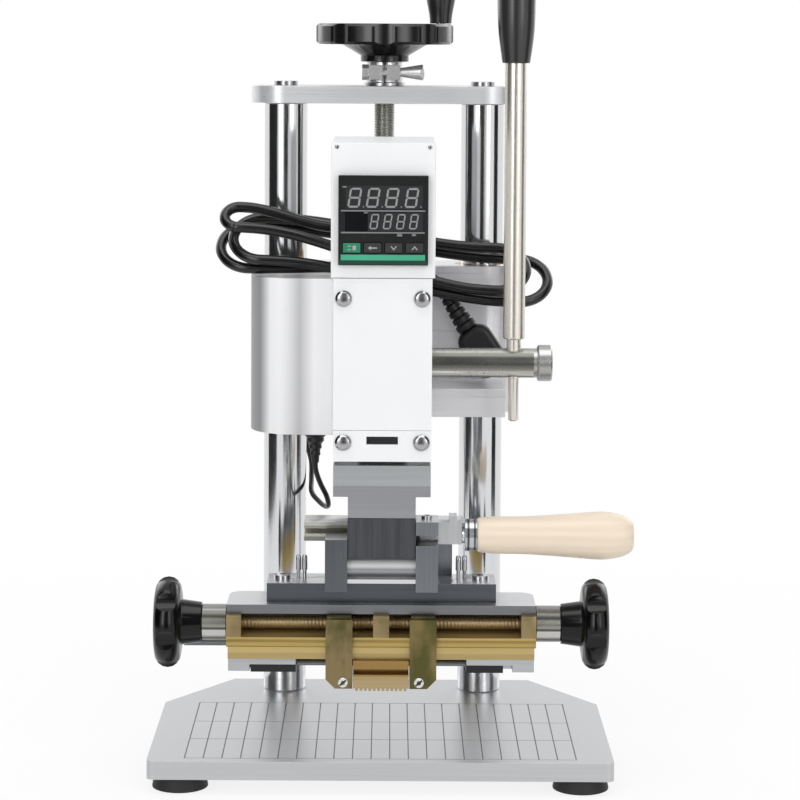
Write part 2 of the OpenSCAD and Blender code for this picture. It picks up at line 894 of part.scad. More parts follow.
module power_relay()
    color("dimgray") at_columns() {
        z = [left_z + relay_lift, left_z + relay_lift + relay_h];
        bar(relay_x, [-yoke_r - relay_base_t, -yoke_r], z);
        bar([relay_x[0] + relay_inset, relay_x[1] - relay_inset], [-relay_front, -yoke_r - relay_base_t],
            [z[0] + relay_inset, z[1] - relay_inset]);
    }

// Ram guide: the slotted block that carries the shaft, the ram and the covers
module ram_guide()
    color("gray") at_columns() difference() {
        union() {
            bar([-guide_half, guide_half], [-guide_front, -yoke_r], [guide_z, guide_top]);
            both_sides() {
                bar([post_x, guide_half], [-guide_front, post_deep - guide_front], [post_low, post_top]);
                for (z = [strip_screw_z, cover_screw_z])
                    rod_y(boss_r, cover_screw_x, [cover_t - head_front, over - guide_front], z);
            }
        }
        bar([-ram_half - slide_gap, ram_half + slide_gap],
            [-ram_front - slide_gap, slide_gap - rack_root], [guide_z - over, guide_top + over]);
        bar([-pinion_half - rack_room, pinion_half + rack_room],
            [-rack_root, rack_room - rack_line + gear_module], [guide_z - over, guide_top + over]);
        rod_x(pitch_r + gear_module + pinion_room, [-pinion_half - rack_room, pinion_half + rack_room],
            shaft_y, shaft_z);
        rod_x(shaft_bush_r, [-guide_half - over, guide_half + over], shaft_y, shaft_z);
        both_sides() {
            rod_z(spring_hole_r, spring_x, spring_y, [spring_low, guide_top + over]);
            for (z = [strip_screw_z, cover_screw_z])
                rod_y(cover_shank_r, cover_screw_x, [-head_front, post_deep - guide_front + over], z);
            for (share = bolt_share) let (z = guide_z + share * guide_top_lift)
                rod_y(bolt_r, bolt_x, [-yoke_r - bolt_thread, over - yoke_r], z);
        }
    }

module head_case()
    color("white") at_columns() difference() {
        union() {
            bar([-case_half, case_half], [-head_front, -case_rear], [case_z, case_top]);
            bar([-tail_half, tail_half], [-case_rear - sheet_t, -case_rear], [guide_top, case_z + over]);
        }
        bar([sheet_t - case_half, case_half - sheet_t], [sheet_t - head_front, -case_rear - sheet_t],
            [case_z - over, case_top - sheet_t]);
        bar([-body_half, body_half], [-head_front - over, -head_front + sheet_t + over],
            [bezel_z + bezel_half - body_half, bezel_z + bezel_half + body_half]);
        both_sides() rod_y(case_shank_r, case_screw_x, [-head_front - over, over - head_front + sheet_t],
            case_screw_z);
    }

module front_cover()
    color("white") at_columns() for (z = [[head_z, strip_top - seam], [strip_top, case_z - seam]])
        difference() {
            bar([-cover_half, cover_half], [-head_front, -cover_rear], z);
            bar([cover_t - cover_half, cover_half - cover_t], [cover_t - head_front, over - cover_rear],
                [z[0] - over, z[1] + over]);
            both_sides() for (screw_z = [strip_screw_z, cover_screw_z])
                rod_y(cover_shank_r, cover_screw_x, [-head_front - over, cover_t - head_front + over],
                    screw_z);
            bar([-window_half, window_half], [-head_front - over, cover_t - head_front + over],
                [head_z + window_low, head_z + window_high]);
            rod_x(shaft_r + seat_gap, [0, cover_half + over], shaft_y, shaft_z);
        }

module domed_head(r, h)
    rotate([90, 0, 0]) turned([[0, 0], [r, 0], [r, h / 3], [r * 0.75, h * 0.85], [r / 3, h], [0, h]]);

module machine_screws()
    color("gainsboro") at_columns() both_sides() {
        for (z = [strip_screw_z, cover_screw_z]) {
            translate([cover_screw_x, -head_front, z]) domed_head(cover_head_r, cover_head_h);
            rod_y(cover_shank_r, cover_screw_x, [-head_front, post_deep - guide_front], z);
        }
        translate([case_screw_x, -head_front, case_screw_z]) domed_head(case_head_r, case_head_h);
        rod_y(case_shank_r, case_screw_x, [-head_front, case_shank - head_front], case_screw_z);
        for (share = bolt_share)
            translate([bolt_x, yoke_r - bolt_head_h, guide_z + share * guide_top_lift]) rotate([-90, 0, 0])
                socket_screw(bolt_head_r, bolt_head_h, bolt_r, yoke_d - bolt_head_h + bolt_thread,
                    bolt_r * 0.8);
    }

// Controller with its display and four keys
module controller_body()
    color([0.12, 0.12, 0.12]) at_columns() difference() {
        mid = bezel_z + bezel_half;
        union() {
            bar([-bezel_half, bezel_half], [-head_front - bezel_t, -head_front],
                [bezel_z, bezel_z + bezel_w]);
            bar([-body_half, body_half], [-head_front - over, body_len - head_front],
                [mid - body_half, mid + body_half]);
        }
        bar([-display_half, display_half], [-head_front - bezel_t - over, display_t - head_front - bezel_t],
            [bezel_z + display_low, bezel_z + display_high]);
        for (i = [0:3])
            key_box(i, key_gap, [-head_front - bezel_t - over, key_pocket - head_front - bezel_t]);
    }

module key_box(i, gap, y) {
    x = (i - 1.5) * key_pitch;
    bar([x - key_w / 2 - gap, x + key_w / 2 + gap], y,
        [bezel_z + key_low - gap, bezel_z + key_low + key_h + gap]);
}

module display_window()
    color("black") at_columns() bar([-display_half, display_half],
        [-head_front - bezel_t, display_t - head_front - bezel_t],
        [bezel_z + display_low, bezel_z + display_high]);

module key(i, tint)
    color(tint) at_columns() key_box(i, 0, [-head_front - bezel_t - key_proud,
        key_len - head_front - bezel_t - key_proud]);

module key_set() key(0, "seagreen");
module key_shift() key(1, "dimgray");
module key_down() key(2, "dimgray");
module key_up() key(3, "dimgray");

// Cord: gland, folded loops, tail, plug and the thin service lead
module strain_relief()
    color([0.1, 0.1, 0.1]) at_columns() translate([gland_x, gland_y, guide_top]) {
        cylinder(h = gland_nut_h, r = gland_nut_r, $fn = 6);
        translate([0, 0, gland_nut_h]) cylinder(h = gland_h, r1 = gland_low_r, r2 = gland_top_r);
    }

tilt_dir = [0, cos(loop_tilt), sin(loop_tilt)];
function mix(a, b, s) = a + (b - a) * s;
function ease(s) = s * s * (3 - 2 * s);
function left_r(k) = left_r_share[k] * fold_r;
function left_fold(k) = [left_r(k) - left_share[k] * loop_left, left_fold_y + k * loop_step_y,
    left_fold_z - k * loop_step_z + (k == 0 ? first_lift : 0)];
function right_fold(k) = [right_share[k] * loop_right - fold_r, right_fold_y + k * loop_step_y,
    right_fold_z - k * right_step_z];
function fold(c, side, r, n) = [for (i = [0:n]) let (a = 180 * i / n)
    c + r * (side * sin(a) * [1, 0, 0] - side * cos(a) * tilt_dir)];
function run(a, b, n) = [for (i = [1:n - 1]) let (s = i / n)
    [mix(a[0], b[0], s), mix(a[1], b[1], ease(s)), mix(a[2], b[2], ease(s))]];
function coil_path(folds, runs) = let (
    top = [for (k = [0:2]) left_fold(k) + left_r(k) * tilt_dir],
    low = [for (k = [0:2]) left_fold(k) - left_r(k) * tilt_dir],
    right_low = [for (k = [0:1]) right_fold(k) - fold_r * tilt_dir],
    right_top = [for (k = [0:1]) right_fold(k) + fold_r * tilt_dir],
    bend = [for (i = [0:bend_steps]) let (a = 90 * i / bend_steps)
        [gland_x - bend_r * (1 - cos(a)), gland_y, gland_z + cord_d + bend_r * sin(a)]])
    concat([[gland_x, gland_y, gland_z]], bend, run(bend[bend_steps], top[0], runs),
        fold(left_fold(0), -1, left_r(0), folds), run(low[0], right_low[0], runs),
        fold(right_fold(0), 1, fold_r, folds), run(right_top[0], top[1], runs),
        fold(left_fold(1), -1, left_r(1), folds), run(low[1], right_low[1], runs),
        fold(right_fold(1), 1, fold_r, folds), run(right_top[1], top[2], runs),
        fold(left_fold(2), -1, left_r(2), folds), run(low[2], tail_points[0], runs),
        [tail_points[0] - [cord_d, 0, 0], tail_points[0]]);

check_folds = 16;
check_runs = 24;
coil_check = coil_path(check_folds, check_runs);
least_gap = min([for (i = [0:len(coil_check) - 1]) for (j = [i + check_folds:1:len(coil_check) - 1])
    norm(coil_check[i] - coil_check[j])]) - cord_d;
echo(str("least gap between the loops, mm: ", least_gap));

module mains_coil()
    color([0.1, 0.1, 0.1]) at_columns() tube(coil_path(fold_steps, run_steps), cord_r, cord_sides,
        cross(tilt_dir, [-1, 0, 0]));

module mains_tail()
    color([0.1, 0.1, 0.1]) at_columns() tube(tail_points, cord_r, tail_sides, [0, 1, 0]);

module mains_plug()
    color([0.12, 0.12, 0.12]) at_columns() translate(tail_points[len(tail_points) - 1])
        rotate([0, -plug_tilt, 0]) mirror([0, 0, 1]) {
            cylinder(h = plug_sleeve, r1 = cord_r, r2 = plug_sleeve_r);
            z = [plug_sleeve, plug_sleeve + plug_len];
            half = plug_w / 2;
            bar([plug_round - half, half - plug_round], [-plug_t / 2, plug_t / 2], z);
            bar([-half, half], [-plug_t / 2, plug_t / 2], [z[0] + plug_round, z[1] - plug_round]);
            for (side = [-1, 1], end = [z[0] + plug_round, z[1] - plug_round])
                rod_y(plug_round, side * (half - plug_round), [-plug_t / 2, plug_t / 2], end);
            for (side = [-1, 1]) translate([side * blade_x, -plug_t / 2, plug_sleeve + blade_drop])
                rotate([0, side * blade_angle, 0])
                    bar([-blade_t / 2, blade_t / 2], [-blade_len, over], [-blade_w / 2, blade_w / 2]);
        }

module service_lead()
    color([0.1, 0.1, 0.1]) at_columns() {
        tube(lead_points, lead_tube_r, lead_sides, [1, 0, 0.2]);
        translate([-boot_x, -boot_y, left_z - boot_len])
            cylinder(h = boot_len, r1 = boot_tip_r, r2 = boot_r);
    }

// Lever: shaft, pinion, rod and grip
function involute(r, t) = r * [cos(t) + t * PI / 180 * sin(t), sin(t) - t * PI / 180 * cos(t)];
function turn2(p, a) = [p[0] * cos(a) - p[1] * sin(a), p[0] * sin(a) + p[1] * cos(a)];
function flip2(p) = [p[0], -p[1]];

module pinion_outline() {
    base_r = pitch_r * cos(pressure);
    tip_r = pitch_r + tip_ratio * gear_module;
    root_r = pitch_r - root_ratio * gear_module;
    tip_t = 180 / PI * sqrt(pow(tip_r / base_r, 2) - 1);
    half = 90 / pinion_teeth - tooth_play / pitch_r * 180 / PI + tan(pressure) * 180 / PI - pressure;
    flank = concat([turn2([root_r, 0], -half)],
        [for (share = [0, 0.35, 0.7, 1]) turn2(involute(base_r, share * tip_t), -half)]);
    polygon([for (i = [0:pinion_teeth - 1]) let (a = 360 * i / pinion_teeth)
        each concat([for (p = flank) turn2(p, a)],
            [for (k = [len(flank) - 1:-1:0]) turn2(flip2(flank[k]), a)])]);
}

module lever_shaft()
    color("dimgray") at_columns() difference() {
        union() {
            rod_x(shaft_r, [-shaft_left, cap_x + over], shaft_y, shaft_z);
            translate([cap_x, shaft_y, shaft_z]) rotate([0, 90, 0]) turned([[0, 0],
                [shaft_r - cap_seam, 0], [shaft_r - cap_seam, cap_seam], [cap_r - cap_round, cap_seam],
                [cap_r, cap_seam + cap_round], [cap_r, cap_len - cap_round], [cap_r - cap_round, cap_len],
                [0, cap_len]]);
        }
        rod_z(neck_r, lever_x, shaft_y, [shaft_z - shaft_d, shaft_z + shaft_d]);
    }

module shaft_pinion()
    color("slategray") at_columns() translate([-pinion_half, shaft_y, shaft_z]) rotate([0, 90, 0])
        difference() {
            linear_extrude(2 * pinion_half) rotate(-90) pinion_outline();
            rod_z(shaft_r, 0, 0, [-over, 2 * pinion_half + over]);
        }

module lever_rod()
    color("lightgray") at_columns() translate([lever_x, shaft_y, shaft_z]) turned([
        [0, -stub_low], [stub_r - tube_chamfer, -stub_low], [stub_r, tube_chamfer - stub_low],
        [stub_r, -shaft_r], [neck_r, -shaft_r], [neck_r, tube_lift], [tube_r - tube_chamfer, tube_lift],
        [tube_r, tube_lift + tube_chamfer], [tube_r, tube_lift + lever_tube_h],
        [neck_r, tube_lift + lever_tube_h], [neck_r, tube_lift + lever_tube_h + grip_core],
        [0, tube_lift + lever_tube_h + grip_core]]);

module lever_grip()
    color([0.1, 0.1, 0.1]) at_columns() translate([lever_x, shaft_y, grip_z]) {
        radii = [grip_base_r - tube_chamfer, grip_base_r, grip_mid_r, grip_max_r, grip_mid_r,
            grip_base_r, grip_end_r];
        turned(concat([[neck_r, 0]], [for (i = [0:len(radii) - 1]) [radii[i], grip_shares[i] * lever_grip_h]],
            [[0, lever_grip_h], [0, grip_core], [neck_r, grip_core]]));
    }

// Ram: rack bar, heater, rail and springs
module ram_bar()
    color("gainsboro") at_columns() {
        bar([-ram_half, ram_half], [-ram_front, -rack_root], [heater_top, ram_top]);
        bar([-arm_half, arm_half], arm_y, [ram_top - arm_h, ram_top]);
        slope = tan(pressure) * gear_module;
        mid = rack_pitch / 4 - tooth_play;
        translate([-pinion_half, 0, shaft_z]) rotate([90, 0, 90]) linear_extrude(2 * pinion_half)
            for (i = [rack_low:rack_high]) translate([-rack_line, (i + 0.5) * rack_pitch])
                polygon([[-root_ratio * gear_module - run_gap, mid + slope * root_ratio],
                    [tip_ratio * gear_module, mid - slope * tip_ratio],
                    [tip_ratio * gear_module, slope * tip_ratio - mid],
                    [-root_ratio * gear_module - run_gap, -mid - slope * root_ratio]]);
    }

module heater_block()
    color("darkgray") at_columns() difference() {
        union() {
            bar([-heater_half, heater_half], [-heater_front, -heater_rear], [heater_z, heater_top]);
            bar([-heater_half, heater_half], [-heater_front, -heater_rear], [slab_z, heater_z]);
            bar([-neck_half, neck_half], [-heater_front, -heater_rear], [neck_z, slab_z + over]);
        }
        both_sides() rod_y(cartridge_r, cartridge_x, [-cartridge_front, over - heater_rear], cartridge_z);
        rod_y(probe_r, 0, [-cartridge_front, over - heater_rear], slab_z);
    }

module heater_cartridges()
    color("silver") at_columns() {
        both_sides() rod_y(cartridge_r, cartridge_x, [-cartridge_front, -cartridge_rear], cartridge_z);
        rod_y(probe_r, 0, [-cartridge_front, -cartridge_rear], slab_z);
    }

module tongue(x, grow) {
    z = [tongue_z - grow, tongue_z + tongue_h + grow];
    bar(x, [-die_rear - over, tongue_deep - die_rear + over], z);
    bar(x, [tongue_deep - die_rear - grow, tongue_deep + head_deep - die_rear + grow],
        [z[0] - head_extra, z[1] + head_extra]);
}

module carrier_rail()
    color("darkgray") at_columns() difference() {
        union() {
            bar([-rail_left, rail_right], [-rail_front, -heater_rear], [rail_z, rail_z + rail_h]);
            bar([-neck_half, neck_half], [-rail_front, -heater_rear], [rail_z + rail_h - over, neck_z]);
        }
        tongue([-rail_left - over, rail_right + over], slide_gap);
    }

function coil_spring(h) = [for (i = [0:spring_turns * 8]) let (a = 45 * i, s = i / spring_turns / 8)
    [spring_r * cos(a), spring_r * sin(a), mix(spring_wire_r, h - spring_wire_r, s)]];

module return_springs()
    color("silver") at_columns() for (side = [-1, 1]) translate([side * spring_x, spring_y, spring_low])
        tube(coil_spring(ram_top - arm_h - spring_low), spring_wire_r, 6, [0, 0, 1]);

// Type carrier
module die_block()
    color("dimgray") at_columns() {
        bar([-die_half, die_half], [-heater_front, -die_rear], [die_z, die_z + die_h]);
        tongue([-die_half, die_half], 0);
    }

module uprights()
    color("gray") at_columns() {
        difference() {
            for (part = [[-1, left_upright_h], [1, right_upright_h]]) {
                x = part[0] < 0 ? [-upright_out, -die_half] : [die_half, upright_out];
                bar(x, [-upright_front, -upright_rear], [bridge_top, bridge_top + part[1]]);
                bar(x, [-upright_front, -bridge_front], [bridge_top - upright_lip, bridge_top + over]);
            }
            rod_x(cross_r, [-upright_out - over, upright_out + over], cross_y, cross_z);
        }
        bar([upright_out, upright_out + stay_w], [-bridge_rear - stay_t, -bridge_rear],
            [bridge_top, bridge_top + stay_h]);
    }

module polished_rods()
    color("whitesmoke") at_columns() {
        rod_x(cross_r, [-upright_out, upright_out], cross_y, cross_z);
        rod_x(guide_rod_r, [-lower_slot_x, lower_slot_x], guide_rod_y, guide_rod_z);
        rod_x(stop_rod_r, stop_rod_x, stop_rod_y, stop_rod_z);
    }

module handle_clamp()
    color("silver") at_columns() difference() {
        union() {
            bar([die_half, upright_out], [-upright_front, -clamp_rear], [clamp_z, clamp_z + clamp_h]);
            bar([upright_out, block_x], block_y, [block_z, block_z + block_h]);
            bar(lug_x, block_y, [block_z, block_z + block_h + lug_h]);
        }
        rod_x(rod_r, [upright_out - over, block_x + over], rod_y, rod_z - rod_drop);
        rod_z(clamp_thread_r, (die_half + upright_out) / 2, clamp_screw_y,
            [clamp_z + clamp_h / 2, clamp_z + clamp_h + over]);
    }

module handle_rod()
    color("silver") at_columns() {
        rod_x(rod_r, [rod_start, ferrule_x + over], rod_y, rod_z - rod_drop);
        rod_x(end_nut_r, [block_x, ferrule_x + over], rod_y, rod_z - rod_drop);
        rod_x(ferrule_r, [ferrule_x, wood_x], rod_y, rod_z);
        rod_x(tang_r, [ferrule_x, wood_x + tang_len], rod_y, rod_z);
    }

module wooden_handle()
    color("burlywood") at_columns() translate([wood_x, rod_y, rod_z]) rotate([0, 90, 0]) turned(concat(
        [[tang_r, 0]], [for (i = [0:len(wood_r) - 1]) [wood_r[i], wood_shares[i] * wood_len]],
        [[0, wood_len], [0, tang_len], [tang_r, tang_len]]));

module bridge_plate()
    color("dimgray") at_columns() difference() {
        bar([-bridge_half, bridge_half], [-bridge_front, -bridge_rear], [bridge_z, bridge_top]);
        both_sides() {
            rod_z(cap_thread_r, cap_screw_x, cap_screw_y, [bridge_z - over, bridge_top + over]);
            for (x = post_pin_x) rod_z(pin_r, x, post_pin_y, [bridge_z + pin_r, bridge_top + over]);
        }
    }

module slide_plate()
    color("slategray") at_columns() difference() {
        z = [slide_z, bridge_z];
        union() {
            bar([-frame_half, frame_half], [-slide_front, -slide_rear - slide_corner], z);
            bar([slide_corner - frame_half, frame_half - slide_corner], [-slide_front, -slide_rear], z);
            both_sides() rod_z(slide_corner, frame_half - slide_corner, -slide_rear - slide_corner, z);
        }
        both_sides() rod_z(cap_thread_r, cap_screw_x, cap_screw_y, [slide_z - over, bridge_z + over]);
    }

module slot_frame()
    color("goldenrod") at_columns() difference() {
        union() {
            bar([-frame_half, frame_half], [-frame_front, -frame_rear], [brass_z, channel_z]);
            bar([-frame_half, frame_half], [-frame_rear - frame_back_t, -frame_rear],
                [channel_z - over, slide_z]);
            bar([-frame_post, frame_post], [-frame_front, -frame_rear], [channel_z - over, slide_z]);
            both_sides() bar([frame_half - frame_end, frame_half], [-frame_front, -frame_rear],
                [channel_z - over, slide_z]);
            bar([bright_inset - frame_half, frame_half - bright_inset],
                [bright_inset - frame_front, -frame_rear], [bright_z, brass_z]);
        }
        rod_x(lead_r + run_gap, [-frame_half - over, frame_half + over], knob_y, knob_z);
        rod_x(stop_rod_r, [-frame_half - over, stop_rod_x[1]], stop_rod_y, stop_rod_z);
    }

module lower_plate()
    color("lightgray") at_columns() difference() {
        low = lower_top - lower_t;
        bar([bright_inset - frame_half, frame_half - bright_inset], [-lower_front, -lower_rear],
            [low, lower_top]);
        bar([-lower_step_x, lower_step_x], [-lower_front - over, lower_step_d - lower_front],
            [low - over, low + lower_step_h]);
        bar([-lower_slot_x, lower_slot_x], [-lower_front - over, lower_slot_d - lower_front],
            [low - over, lower_top + over]);
    }

module bottom_strip()
    color("dimgray") at_columns() {
        z = [lower_top - lower_t - strip_drop, lower_top - lower_t + lower_step_h];
        y = [-strip_front, lower_step_d - lower_front];
        bar([-strip_left, -lower_slot_x], y, z);
        bar([lower_slot_x, strip_right], y, z);
        bar([-lower_slot_x, lower_slot_x],
            [lower_slot_d - strip_back_t - lower_front, lower_slot_d - lower_front], [z[0], lower_top]);
    }

module type_holder()
    color("darkgoldenrod") at_columns() {
        difference() {
            bar([-holder_half, holder_half], [-holder_front, -holder_rear], [holder_z, lower_top]);
            bar([-holder_half - over, holder_half + over], [-holder_front - over, slit_deep - holder_front],
                [holder_z + slit_low, holder_z + slit_low + slit_h]);
        }
        slug_pitch = (holder_w - slug_w) / slug_count;
        for (i = [0:slug_count - 1]) let (x = (i - (slug_count - 1) / 2) * slug_pitch)
            bar([x - slug_w / 2, x + slug_w / 2], [-slug_front, -slug_rear], [work_gap, holder_z]);
    }

module carrier_screws()
    color("gainsboro") at_columns() {
        both_sides() translate([cap_screw_x, cap_screw_y, bridge_top])
            socket_screw(cap_screw_r, cap_screw_h, cap_thread_r, bridge_top - slide_z, cap_thread_r * 0.8);
        translate([(die_half + upright_out) / 2, clamp_screw_y, clamp_z + clamp_h])
            socket_screw(clamp_screw_r, clamp_screw_h, clamp_thread_r, clamp_h / 2, clamp_screw_r / 2);
        both_sides() for (x = post_pin_x) translate([x, post_pin_y, bridge_top])
            turned([[0, pin_r - bridge_t], [pin_r, pin_r - bridge_t], [pin_r, sleeve_z[0]],
                [sleeve_r, sleeve_z[0]], [sleeve_r, sleeve_z[1]], [pin_head_r, sleeve_z[1]],
                [pin_head_r, pin_h - pin_r], [pin_r, pin_h], [0, pin_h]]);
    }

// Jaw on its slider, drawn on the right
module jaw()
    difference() {
        union() {
            bar([jaw_x, jaw_x + jaw_w], [-jaw_front, -jaw_back], [jaw_low, jaw_top]);
            bar([jaw_x + slider_inset, jaw_x + jaw_w - slider_inset], [-jaw_back - over, -slider_rear],
                [channel_z + slider_gap, slide_z - slider_gap]);
            bar([jaw_x, jaw_x + jaw_w - slider_inset], [-jaw_back - over, -pad_rear],
                [pad_low, lower_top - pad_gap]);
            translate([jaw_x + jaw_screw_share * jaw_w, -jaw_front, jaw_low + jaw_screw_lift])
                domed_head(jaw_screw_r, jaw_screw_h);
        }
        rod_x(lead_r + run_gap, [jaw_x - over, jaw_x + jaw_w + over], knob_y, knob_z);
        rod_x(guide_rod_r + run_gap, [jaw_x - over, jaw_x + jaw_w + over], guide_rod_y, guide_rod_z);
        translate([jaw_x + jaw_w, 0, jaw_low]) rotate([0, 45, 0])
            bar([-jaw_chamfer / sqrt(2), jaw_chamfer / sqrt(2)], [-jaw_front - over, over - slider_rear],
                [-jaw_chamfer / sqrt(2), jaw_chamfer / sqrt(2)]);
    }

module jaw_left() color("olive") at_columns() mirror([1, 0, 0]) jaw();
module jaw_right() color("olive") at_columns() jaw();

// Side knob with lobes, drawn on the right
module side_knob()
    difference() {
        translate([0, knob_y, knob_z]) rotate([0, 90, 0]) difference() {
            end = knob_rim_x + knob_rim_t;
            round_r = knob_rim_t / 2;
            turned(concat([[0, knob_hub_x], [knob_hub_r, knob_hub_x], [knob_flange_r, knob_rim_x - over]],
                [for (i = [0:8]) let (a = -90 + 180 * i / 8)
                    [knob_r - round_r + round_r * cos(a), knob_rim_x + round_r + round_r * sin(a)]],
                [[knob_flange_r, end - round_r / 3], [0, end - round_r / 3]]));
            for (i = [0:knob_lobes - 1]) rotate((i + 0.5) * 360 / knob_lobes)
                rod_z(knob_lobe_r, knob_r + knob_lobe_r - knob_lobe_deep, 0,
                    [knob_rim_x - over, end + over]);
        }
        rod_x(knob_core_r, [knob_hub_x - over, knob_hub_x + knob_core], knob_y, knob_z);
    }

module knob_left() color([0.08, 0.08, 0.08]) at_columns() mirror([1, 0, 0]) side_knob();
module knob_right() color([0.08, 0.08, 0.08]) at_columns() side_knob();

module knob_shaft() {
    rod_x(lead_r, [lead_end, knob_hub_x], knob_y, knob_z);
    rod_x(shaft_big_r, [frame_half + seat_gap, knob_hub_x], knob_y, knob_z);
    rod_x(knob_core_r, [knob_hub_x - over, knob_hub_x + knob_core], knob_y, knob_z);
}

module knob_shaft_left() color("silver") at_columns() mirror([1, 0, 0]) knob_shaft();
module knob_shaft_right() color("silver") at_columns() knob_shaft();

base_plate();
rubber_feet();
frame_screws();
columns();
top_plate();
screw_bush();
handwheel();
lift_screw();
crank_pin();
lock_collar();
crank_grip();
lock_screw();
carriage_block();
bronze_bushes();
lift_nut();
left_cover();
ram_guide();
head_case();
front_cover();
machine_screws();
controller_body();
display_window();
power_relay();
strain_relief();
service_lead();
mains_coil();
mains_tail();
mains_plug();
key_set();
key_shift();
key_down();
key_up();
lever_shaft();
shaft_pinion();
lever_rod();
lever_grip();
ram_bar();
heater_block();
heater_cartridges();
carrier_rail();
return_springs();
die_block();
uprights();
polished_rods();
handle_clamp();
handle_rod();
wooden_handle();
bridge_plate();
slide_plate();
slot_frame();
lower_plate();
bottom_strip();
type_holder();
carrier_screws();
jaw_left();
jaw_right();
knob_left();
knob_right();
knob_shaft_left();
knob_shaft_right();
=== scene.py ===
import json
import math

import bmesh
import bpy
from mathutils import Matrix, Vector


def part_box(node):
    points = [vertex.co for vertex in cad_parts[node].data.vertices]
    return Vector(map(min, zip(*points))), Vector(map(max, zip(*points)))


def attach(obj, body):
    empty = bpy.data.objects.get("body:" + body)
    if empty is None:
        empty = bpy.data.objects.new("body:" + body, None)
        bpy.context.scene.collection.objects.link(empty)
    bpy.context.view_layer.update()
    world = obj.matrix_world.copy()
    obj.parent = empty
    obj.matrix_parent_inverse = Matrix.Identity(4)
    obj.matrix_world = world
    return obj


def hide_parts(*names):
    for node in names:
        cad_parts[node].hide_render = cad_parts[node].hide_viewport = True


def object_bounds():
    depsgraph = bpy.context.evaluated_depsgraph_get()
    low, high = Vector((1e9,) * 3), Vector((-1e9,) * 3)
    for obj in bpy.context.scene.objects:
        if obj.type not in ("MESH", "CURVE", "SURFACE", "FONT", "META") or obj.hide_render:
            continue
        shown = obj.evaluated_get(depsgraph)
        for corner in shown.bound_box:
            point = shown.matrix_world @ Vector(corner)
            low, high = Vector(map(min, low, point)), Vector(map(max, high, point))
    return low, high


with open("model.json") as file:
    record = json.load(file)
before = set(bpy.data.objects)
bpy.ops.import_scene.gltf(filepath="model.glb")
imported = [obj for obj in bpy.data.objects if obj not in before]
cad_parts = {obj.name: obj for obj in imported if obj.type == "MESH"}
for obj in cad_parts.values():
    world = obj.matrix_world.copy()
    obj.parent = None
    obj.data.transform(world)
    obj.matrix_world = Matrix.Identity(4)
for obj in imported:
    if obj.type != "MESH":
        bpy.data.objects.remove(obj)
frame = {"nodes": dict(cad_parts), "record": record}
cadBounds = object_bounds()
record = frame["record"]
nodeBody = {node: body for body, nodes in record["behaviour"]["bodies"].items() for node in nodes}
mm = 0.001

# The columns stand this far behind the middle of the base, and most places are measured from them
columnY = 72


def place(x, y, z):
    return Vector((x * mm, (y + columnY) * mm, z * mm))


def mix(a, b, share):
    return a + (b - a) * share


def ease(share):
    return share * share * (3 - 2 * share)


# Camera, in mm
view = {
    "place": (3.04, -1484.6, 389.8),
    "focal": 2659.4 / 800 * 36,
    "down": math.radians(4),
    "roll": 0.0055,
    "shift": (0.0137, -0.2307),
}
cameraData = bpy.data.cameras.new("camera")
cameraData.sensor_width = 36
cameraData.lens = view["focal"]
cameraData.shift_x, cameraData.shift_y = view["shift"]
camera = bpy.data.objects.new("camera", cameraData)
bpy.context.scene.collection.objects.link(camera)
turn = Matrix.Rotation(math.pi / 2 - view["down"], 4, "X") @ Matrix.Rotation(view["roll"], 4, "Z")
camera.matrix_world = Matrix.Translation(Vector(view["place"]) * mm) @ turn
bpy.context.scene.camera = camera
print("camera placed")


# Sockets that can be added and multiplied as numbers are
class Wire:
    def __init__(self, tree, socket):
        self.tree = tree
        self.socket = socket

    def maths(self, operation, first, second):
        node = self.tree.nodes.new("ShaderNodeMath")
        node.operation = operation
        for socket, value in zip(node.inputs, (first, second)):
            if isinstance(value, Wire):
                self.tree.links.new(value.socket, socket)
            else:
                socket.default_value = value
        return Wire(self.tree, node.outputs[0])

    def __add__(self, other):
        return self.maths("ADD", self, other)

    def __radd__(self, other):
        return self.maths("ADD", other, self)

    def __sub__(self, other):
        return self.maths("SUBTRACT", self, other)

    def __rsub__(self, other):
        return self.maths("SUBTRACT", other, self)

    def __mul__(self, other):
        return self.maths("MULTIPLY", self, other)

    def __rmul__(self, other):
        return self.maths("MULTIPLY", other, self)

    def fraction(self):
        return self.maths("FRACT", self, 0.0)

    def absolute(self):
        return self.maths("ABSOLUTE", self, 0.0)

    def above(self, level):
        return self.maths("GREATER_THAN", self, level)


def tint(code):
    parts = [int(code[i:i + 2], 16) / 255 for i in (1, 3, 5)]
    return tuple((c / 12.92 if c <= 0.04045 else ((c + 0.055) / 1.055) ** 2.4) for c in parts) + (1.0,)


